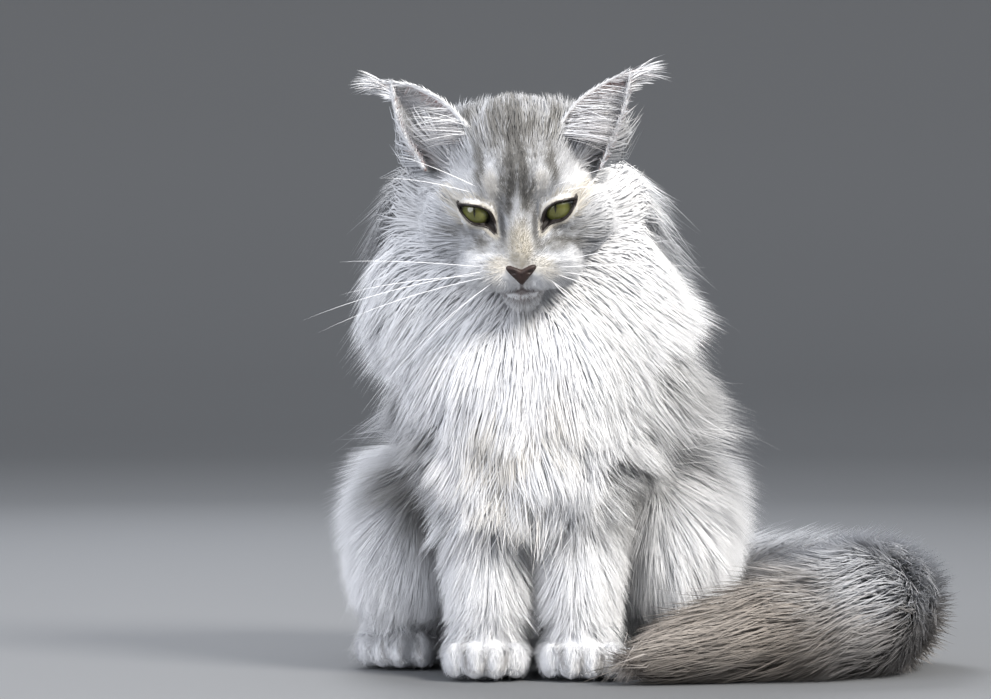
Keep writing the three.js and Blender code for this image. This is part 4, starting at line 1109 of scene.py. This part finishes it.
# How long the coat is, how far it stands off the skin and how wide its tufts are, place by place.
def coat_size(p, share):
    stand, length, width = (sum(REGIONS[n][k] * share[:, i] for i, n in enumerate(NAMES)) for k in ("stand", "length", "width"))
    q = to_head(p)
    on_head = share[:, 0]
    r = np.linalg.norm(q - np.array([0, -62, -26]), axis=1)
    back = np.maximum(smooth_step(-30, 8, q[:, 1]), smooth_step(28, 45, np.abs(q[:, 0])))
    short = 2.6 + 5.5 * smooth_step(8, 62, r)
    x, z = np.abs(q[:, 0]), q[:, 2]
    pads = smooth_step(1.5, 0.6, np.hypot((x - 25) / 15, (z + 33) / 10)) * smooth_step(-24, -34, q[:, 1])
    pads = pads * (0.25 + 0.75 * smooth_step(-27, -34, z))
    brow = smooth_step(1.4, 0.6, np.hypot((x - 28) / 16, (z - 15) / 7)) * smooth_step(4, -8, q[:, 1])
    crown = smooth_step(16, 34, z) * smooth_step(-22, 0, q[:, 1])
    behind = smooth_step(4, 24, q[:, 1]) * smooth_step(8, 30, z)
    scruff = smooth_step(6, 30, q[:, 1]) * smooth_step(14, -10, z)
    temple = smooth_step(33, 45, x) * smooth_step(-6, 12, z) * smooth_step(-18, 0, q[:, 1])
    corner = smooth_step(16, 34, x) * smooth_step(14, 30, z) * smooth_step(-10, 8, q[:, 1])
    chin = smooth_step(-45, -50, z) * smooth_step(-32, -42, q[:, 1])
    own_length = short + 9 * pads + 16 * chin + 4 * brow + back * (15 + 22 * smooth_step(20, 0, z)) + 8 * behind + 12 * corner + 12 * scruff + 20 * temple
    own_stand = 1.9 + 5.2 * pads + 5 * chin + 2.6 * brow + back * (8 + 10 * smooth_step(32, 48, x)) + 5 * crown + 9 * behind + 14 * corner + 12 * scruff + 18 * temple
    own_width = 0.52 + 0.2 * smooth_step(20, 60, r) + 0.38 * back
    far = 1 - on_head
    part = dict(zip(NAMES, share.T))
    wide, z = np.abs(p[:, 0] - 6), p[:, 2]
    beside = part["ruff"] * smooth_step(20, 62, wide) * smooth_step(250, 312, z) * (1 + 0.35 * smooth_step(20, 60, p[:, 0]) * smooth_step(300, 330, z))
    beside = beside * smooth_step(115, 75, p[:, 1])
    crest = (part["hindleg_right"] + part["hindleg_left"]) * smooth_step(112, 150, z) * smooth_step(85, 125, p[:, 1])
    loin = part["torso"] * smooth_step(20, -20, p[:, 0]) * smooth_step(235, 205, z) * smooth_step(140, 165, z)
    nape = part["ruff"] * smooth_step(60, 90, p[:, 1]) * smooth_step(255, 295, z)
    saddle = part["torso"] * smooth_step(165, 205, z) * smooth_step(36, 60, p[:, 0])
    fall = part["ruff"] * smooth_step(195, 150, z)
    below = part["ruff"] * smooth_step(30, 58, wide) * smooth_step(240, 190, z) * smooth_step(75, 35, p[:, 1])
    below = below * smooth_step(50, 10, p[:, 0])
    middle = part["ruff"] * smooth_step(40, 16, wide) * smooth_step(215, 170, z)
    flank = part["torso"] * smooth_step(110, 150, z) * smooth_step(30, 66, np.abs(p[:, 0] - 20)) * np.where(p[:, 0] > 20, 1.4, 1)
    legs = (part["foreleg_right"] + part["foreleg_left"]) * smooth_step(38, 62, z)
    hocks = (part["hindleg_right"] + part["hindleg_left"]) * smooth_step(92, 58, z) * smooth_step(165, 125, p[:, 1])
    plume = part["tail"] * smooth_step(80, 0, p[:, 1])
    feet = (part["hindpaw_right"] + part["hindpaw_left"] + part["forepaw_right"] + part["forepaw_left"]) * smooth_step(17, 31, z)
    insteps = (part["hindpaw_right"] + part["hindpaw_left"]) * smooth_step(20, 30, z) * smooth_step(84, 98, p[:, 1])
    bend = part["tail"] * smooth_step(215, 250, p[:, 0])
    inner = sum(part["foreleg_" + k] * smooth_step(10, -8, (p[:, 0] - FORELEG_X[k]) * s) for k, s in SIDES.items())
    stand = stand + 30 * beside - 8 * below + 13 * flank + (6 + 6 * inner) * legs - 11 * hocks + 9 * crest + 8 * loin - 12 * plume + 7 * bend + 4 * feet + 3 * insteps + 12 * nape - 18 * fall + 17 * saddle
    length = length + 8 * beside - 20 * below + 24 * middle + 8 * flank + 10 * legs - 3 * hocks + 14 * crest + 14 * loin + 6 * bend + 8 * feet + 6 * insteps + 8 * nape + 14 * saddle
    return (
        np.where(on_head > 0.5, own_stand, stand * far + own_stand * on_head),
        np.where(on_head > 0.5, own_length, length * far + own_length * on_head),
        np.where(on_head > 0.5, own_width, width * far + own_width * on_head),
    )


def bare(p):
    """Where no hair grows: the openings of the eyes, the nose leather and the line of the mouth."""
    q = to_head(p)
    e = from_eye(q)
    near = (q[:, 1] < -6) & (np.hypot(e[:, 0], e[:, 2]) < 22)
    none = np.zeros(len(p), bool)
    none[near] = outside_edge(e[near, 0], e[near, 2]) < 1.15
    nose = (q[:, 1] < -52) & (np.hypot(q[:, 0] / 10.5, (q[:, 2] + 31.5) / 7.0) < 1)
    mouth, _ = off_lips(q)
    return none | nose | ((mouth < 0.8) & (q[:, 1] < -30) & (np.abs(q[:, 0]) < 9) & (q[:, 2] < -38))


def near_forms(names):
    return [REGIONS[n]["form"] for n in names]


q_skin = to_head(skin_points)
face_share = skin_share[:, 0] * (smooth_step(2, -10, q_skin[:, 1]) * smooth_step(46, 34, np.abs(q_skin[:, 0])))
front = smooth_step(80, 60, skin_points[:, 1])
high = smooth_step(225, 255, skin_points[:, 2])
low_off = smooth_step(4, 9, skin_points[:, 2])
HEAD_ONLY, HEAD_RUFF = ["head"], ["head", "ruff"]
TRUNK = ["ruff", "torso", "foreleg_right", "foreleg_left", "hindleg_right", "hindleg_left"]
index_of = {n: i for i, n in enumerate(NAMES)}


def share_of(*names):
    return sum(skin_share[:, index_of[n]] for n in names)


PLAN = [
    # name, where it grows, tufts, steps, forms it lies on, size of a lock, pull into it, slot
    ("coat_face", face_share * (1 + 1.2 * smooth_step(70, 25, np.linalg.norm(q_skin - [0, -50, -20], axis=1))), 32000, 1, HEAD_ONLY, 3.0, 0.25, "coat_silver"),
    ("coat_cheeks", skin_share[:, 0] - face_share, 14000, 2, HEAD_RUFF, 8, 0.5, "coat_silver"),
    ("coat_throat", share_of("ruff") * front * high, 17500, 2, HEAD_RUFF + TRUNK[1:], 9, 0.45, "coat_white"),
    ("coat_chest", share_of("ruff") * front * (1 - high), 13000, 2, HEAD_RUFF + TRUNK[1:], 11, 0.65, "coat_white"),
    ("coat_nape", share_of("ruff") * (1 - front), 10000, 2, HEAD_RUFF + TRUNK[1:], 11, 0.65, "coat_white"),
    ("coat_flanks", share_of("torso") * low_off * smooth_step(150, 120, skin_points[:, 1]), 20000, 1, TRUNK, 9, 0.5, "coat_silver"),
    ("coat_back", share_of("torso") * low_off * smooth_step(120, 150, skin_points[:, 1]), 25000, 1, TRUNK + ["tail"], 9, 0.5, "coat_silver"),
    ("coat_haunch_right", share_of("hindleg_right") * low_off, 23000, 1, TRUNK + ["hindpaw_right"], 8, 0.5, "coat_white"),
    ("coat_haunch_left", share_of("hindleg_left") * low_off, 23000, 1, TRUNK + ["hindpaw_left"], 8, 0.5, "coat_white"),
    ("coat_forelegs", share_of("foreleg_right", "foreleg_left"), 25000, 1, TRUNK + ["forepaw_right", "forepaw_left"], 6, 0.45, "coat_white"),
    ("coat_paws", share_of("forepaw_right", "forepaw_left", "hindpaw_right", "hindpaw_left") * low_off, 18000, 1, NAMES[3:-1], 3.0, 0.2, "coat_white"),
    ("coat_tail", share_of("tail") * (1 + 2.0 * smooth_step(205, 245, skin_points[:, 0])), 19000, 2, ["tail", "torso", "hindleg_left"], 11, 0.4, "coat_smoke"),
]
COAT_REACH = (-143, -52, 1), (311, 300, 420)  # no hair goes past these, or into the floor
apron = ball((6, 66, 148), (36, 46, 78))  # the smooth fall of the chest hair over the gap between the legs
for name, weight, count, steps, forms, lock, pull, slot_name in PLAN:
    root, out, patch, *_ = scatter(skin_mesh, np.where(on_ear, 0, np.maximum(weight, 0)), count)
    keep = ~bare(root)
    root, out, patch = root[keep], out[keep], patch[keep]
    share = nearness(root)
    stand, length, width = coat_size(root, share)
    n = len(root)
    length = length * rng.uniform(0.72, 1.12, n)
    least = {"coat_tail": 0.4, "coat_throat": 0.68, "coat_cheeks": 0.68}.get(name, 0.55)
    stand = stand * rng.uniform(least, 1.0, n) ** 0.8
    sway = rng.normal(0, 0.16, n)
    wisp = (rng.random(n) < 0.06) * (length > 24) * (root[:, 0] < 215) * (1 + share[:, -1] * (root[:, 1] < 150))
    length, stand, width = length * (1 + 0.3 * wisp), stand * (1 + 0.22 * wisp), width * (1 - 0.45 * wisp)
    field_forms = near_forms(forms) + [apron] * (name == "coat_chest")
    line, ups = grow(root, out, share, length, stand, steps, field_forms, sway)
    line = gather(line, root, lock, pull * rng.uniform(0.6, 1.15, n), 3)
    line = np.clip(line, *COAT_REACH)
    tone = markings(root, share)
    bright = rng.uniform(0.8 if name == "coat_face" else 0.87, 1.08, n)[:, None]
    # Each tuft is painted darker at its root than at its tip: painted shade deep in the coat.
    tufts(name, line, ups, width * rng.uniform(0.75, 1.2, n), tone * bright * 0.93, np.minimum(tone * bright * 1.03, 1), patch, hair_finish)
    print(name, n, "tris", len(bpy.data.objects[name].data.polygons))


# The hair of the ears: short on the back, long across the cup, a pale fringe on the rims and a tuft
# that ends the ear and sweeps outwards.
TUFT_WAY = {-1: np.array([-0.99, 0.04, 0.08]), 1: np.array([0.97, 0.04, 0.1])}


def ear_tone(place):
    """The colour of the ears: grey backs, pinkish-grey cups, pale rims."""
    s, u, v, cup = place.T
    spots = np.stack([s * 40 * u, 40 * v, 20 * cup], 1)
    back = mix(TINTS["grey"] * np.ones((len(u), 1)), TINTS["silver"], 0.35 + 0.6 * cloud(spots, 6, 4))
    inside = mix(TINTS["pink"] * np.ones((len(u), 1)), TINTS["silver"], 0.12 + 0.4 * cloud(spots, 4, 6))
    inside = mix(inside, TINTS["pink"] * [1.0, 0.72, 0.6], smooth_step(0.6, 0.9, u) * smooth_step(0.42, 0.2, v) * 0.8)
    tone = np.where(cup[:, None] > 0.5, inside, back)
    rim = np.maximum(smooth_step(0.09, 0.02, u), smooth_step(0.92, 0.98, u))
    return mix(tone, TINTS["white"], 0.85 * rim)


def ear_hair(name, keep, count, way, length, width, steps, droop, seed, whiten):
    """Hair from the ears that keep picks, each on the way that is given for its place."""
    weight = np.where(on_ear, keep(*ear_place.T), 0.0)
    root, out, patch, corner, share = scatter(skin_mesh, weight, count)
    place = (ear_place[corner] * share).sum(1)
    place[:, 0] = ear_place[corner[:, 0], 0]
    place[:, 3] = np.round(place[:, 3])
    rise, across = np.empty_like(root), np.empty_like(root)
    for side, s in SIDES.items():
        m = place[:, 0] == s
        u, v = np.clip(place[m, 1], 0.02, 0.96), np.clip(place[m, 2], 0.01, 0.95)
        here = ear_sheet(side, u, v)
        rise[m], across[m] = ear_sheet(side, u, v + 0.03) - here, ear_sheet(side, u + 0.03, v) - here
    rise /= np.linalg.norm(rise, axis=1, keepdims=True)
    across /= np.linalg.norm(across, axis=1, keepdims=True)
    one = way(place, rise, across, out)
    one = one + np.random.default_rng(seed).normal(0, 0.13, one.shape)
    one /= np.linalg.norm(one, axis=1, keepdims=True)
    n = len(root)
    t = np.linspace(0, 1, steps + 1)[None, :, None]
    reach = (length(place) * rng.uniform(0.6, 1.1, n))[:, None, None]
    line = root[:, None] - out[:, None] * 0.6 + one[:, None] * reach * t + np.asarray(droop) * reach * t**2
    ups = np.repeat(out[:, None], steps + 1, 1)
    tone = mix(ear_tone(place), TINTS["white"], np.full(n, whiten))
    bright = rng.uniform(0.92, 1.06, n)[:, None]
    # The hair is painted darker at the root and paler at the tip: painted shade deep in the ear's hair.
    made = tufts(name, line, ups, width * rng.uniform(0.8, 1.2, n), tone * bright * 0.9, np.minimum(mix(tone, TINTS["white"], np.full(n, 0.35)) * bright, 1), patch, hair_finish)
    return made


ear_hair("ear_backs", lambda s, u, v, cup: (cup < 0.5) * 1.0, 2600, lambda p, r, a, o: r + 0.28 * o, lambda p: 5 + 4 * (1 - p[:, 2]), 0.95, 2, (0, 0, 0), 5, 0.1)
ear_hair("ear_cups", lambda s, u, v, cup: (cup > 0.5) * 1.0, 1600, lambda p, r, a, o: 0.15 * r + 0.95 * a + 0.3 * o, lambda p: 9 + 3 * p[:, 2], 0.55, 2, (0, 0, 0), 6, 0.1)
ear_hair("ear_fringes", lambda s, u, v, cup: (cup > 0.5) * (u < 0.34) * (v > 0.04) * (v < 0.7) * (0.15 + 1.6 * np.maximum(0.5 - v, 0)), 560, lambda p, r, a, o: np.stack([p[:, 0], -0.45 - 0 * p[:, 1], 0.12 - 0.2 * p[:, 2]], 1), lambda p: 52 - 40 * p[:, 2], 0.5, 4, (0, 0.1, -0.12), 7, 0.75)
ear_hair("ear_rims", lambda s, u, v, cup: ((u < 0.07) | (u > 0.94)) * (v > 0.12) * 1.0, 1800, lambda p, r, a, o: r + np.where(p[:, 1:2] < 0.5, -0.45, 0.5) * a, lambda p: 5.5 + 2 * p[:, 2], 0.6, 2, (0, 0, 0), 8, 0.7)
ear_hair("ear_tufts", lambda s, u, v, cup: (v > 0.78) * 1.0, 900, lambda p, r, a, o: 0.42 * r + 0.85 * np.where(p[:, :1] < 0, TUFT_WAY[-1], TUFT_WAY[1]), lambda p: 9 + 22 * smooth_step(0.8, 0.97, p[:, 2]), 0.7, 4, (0, 0, -0.22), 9, 0.7)

# The skin is painted a little darker than the hair over it, as painted shade beneath the coat.
base = np.concatenate([markings(skin_points, skin_share) * 0.94, np.ones((len(skin_points), 1))], 1)
base[on_ear, :3] = ear_tone(ear_place[on_ear]) * 0.85
paint = skin_mesh.attributes.new("coat", "FLOAT_COLOR", "POINT")
paint.data.foreach_set("color", base.astype(np.float32).ravel())
hair_map = skin_mesh.uv_layers.new(name="hair")
loop_vert = np.empty(len(skin_mesh.loops), np.int32)
skin_mesh.loops.foreach_get("vertex_index", loop_vert)
at = skin_points[loop_vert]
hair_map.data.foreach_set("uv", np.stack([(at[:, 0] + at[:, 1]) / 6, at[:, 2] / 14], 1).astype(np.float32).ravel())

# Whiskers: stiff white bristles from the pads of the muzzle and over the eyes, 0.5 mm at the root.
WHISKERS = [
    # where it leaves the face, across and up in the head's frame, and where it ends in the photograph's plane
    (-22, -30, (-142, -20, 241)), (-20, -33, (-131, -26, 233)), (-17, -36, (-104, -32, 178)),
    (-24, -33, (-118, -14, 258)), (-19, -38, (-84, -36, 196)), (-24, -28, (-120, -8, 280)),
    (22, -30, (126, -18, 276)), (20, -33, (124, -20, 226)), (17, -36, (92, -32, 196)),
    (24, -33, (118, -14, 252)), (19, -38, (74, -36, 188)), (24, -27, (112, -8, 296)),
    (-21, 13, (-92, -8, 336)), (-18, 15, (-84, -12, 352)), (21, 13, (88, -4, 330)), (18, 15, (76, -10, 346)),
]
lines, tops = [], []
for x, z, end in WHISKERS:
    start = from_head(on_face(np.array([float(x)]), np.array([float(z)])))[0] + [0, 1.5, 0]
    end = np.array(end, float)
    out_way = np.array([0.25 * np.sign(x), -0.25, 0.1 if z > 0 else -0.05])
    arch = np.linalg.norm(end - start) * 0.22
    t = np.linspace(0, 1, 9)[:, None]
    lines.append(start + (end - start) * t + out_way * arch * 4 * t * (1 - t) * (1 - 0.4 * t) + np.array([0, 0, 1.0]) * arch * 0.5 * t * (1 - t))
    tops.append(np.repeat([[0, -0.3, 0.95]], 9, 0))
lines, tops = np.array(lines), np.array(tops)
pale = np.repeat([TINTS["white"]], len(lines), 0)
whiskers = tufts("whiskers", lines, tops, np.full(len(lines), 0.62), pale, pale, np.full((len(lines), 2), 0.5), hair_finish)
skin_points[:, 2] = np.maximum(skin_points[:, 2], 0.3)
write_points(skin_mesh, scene_m(skin_points))
skin_mesh.polygons.foreach_set("use_smooth", [True] * len(skin_mesh.polygons))
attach(skin, "root")
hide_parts(*[n for n in frame["nodes"] if not n.startswith("eye") and n != "nose"])
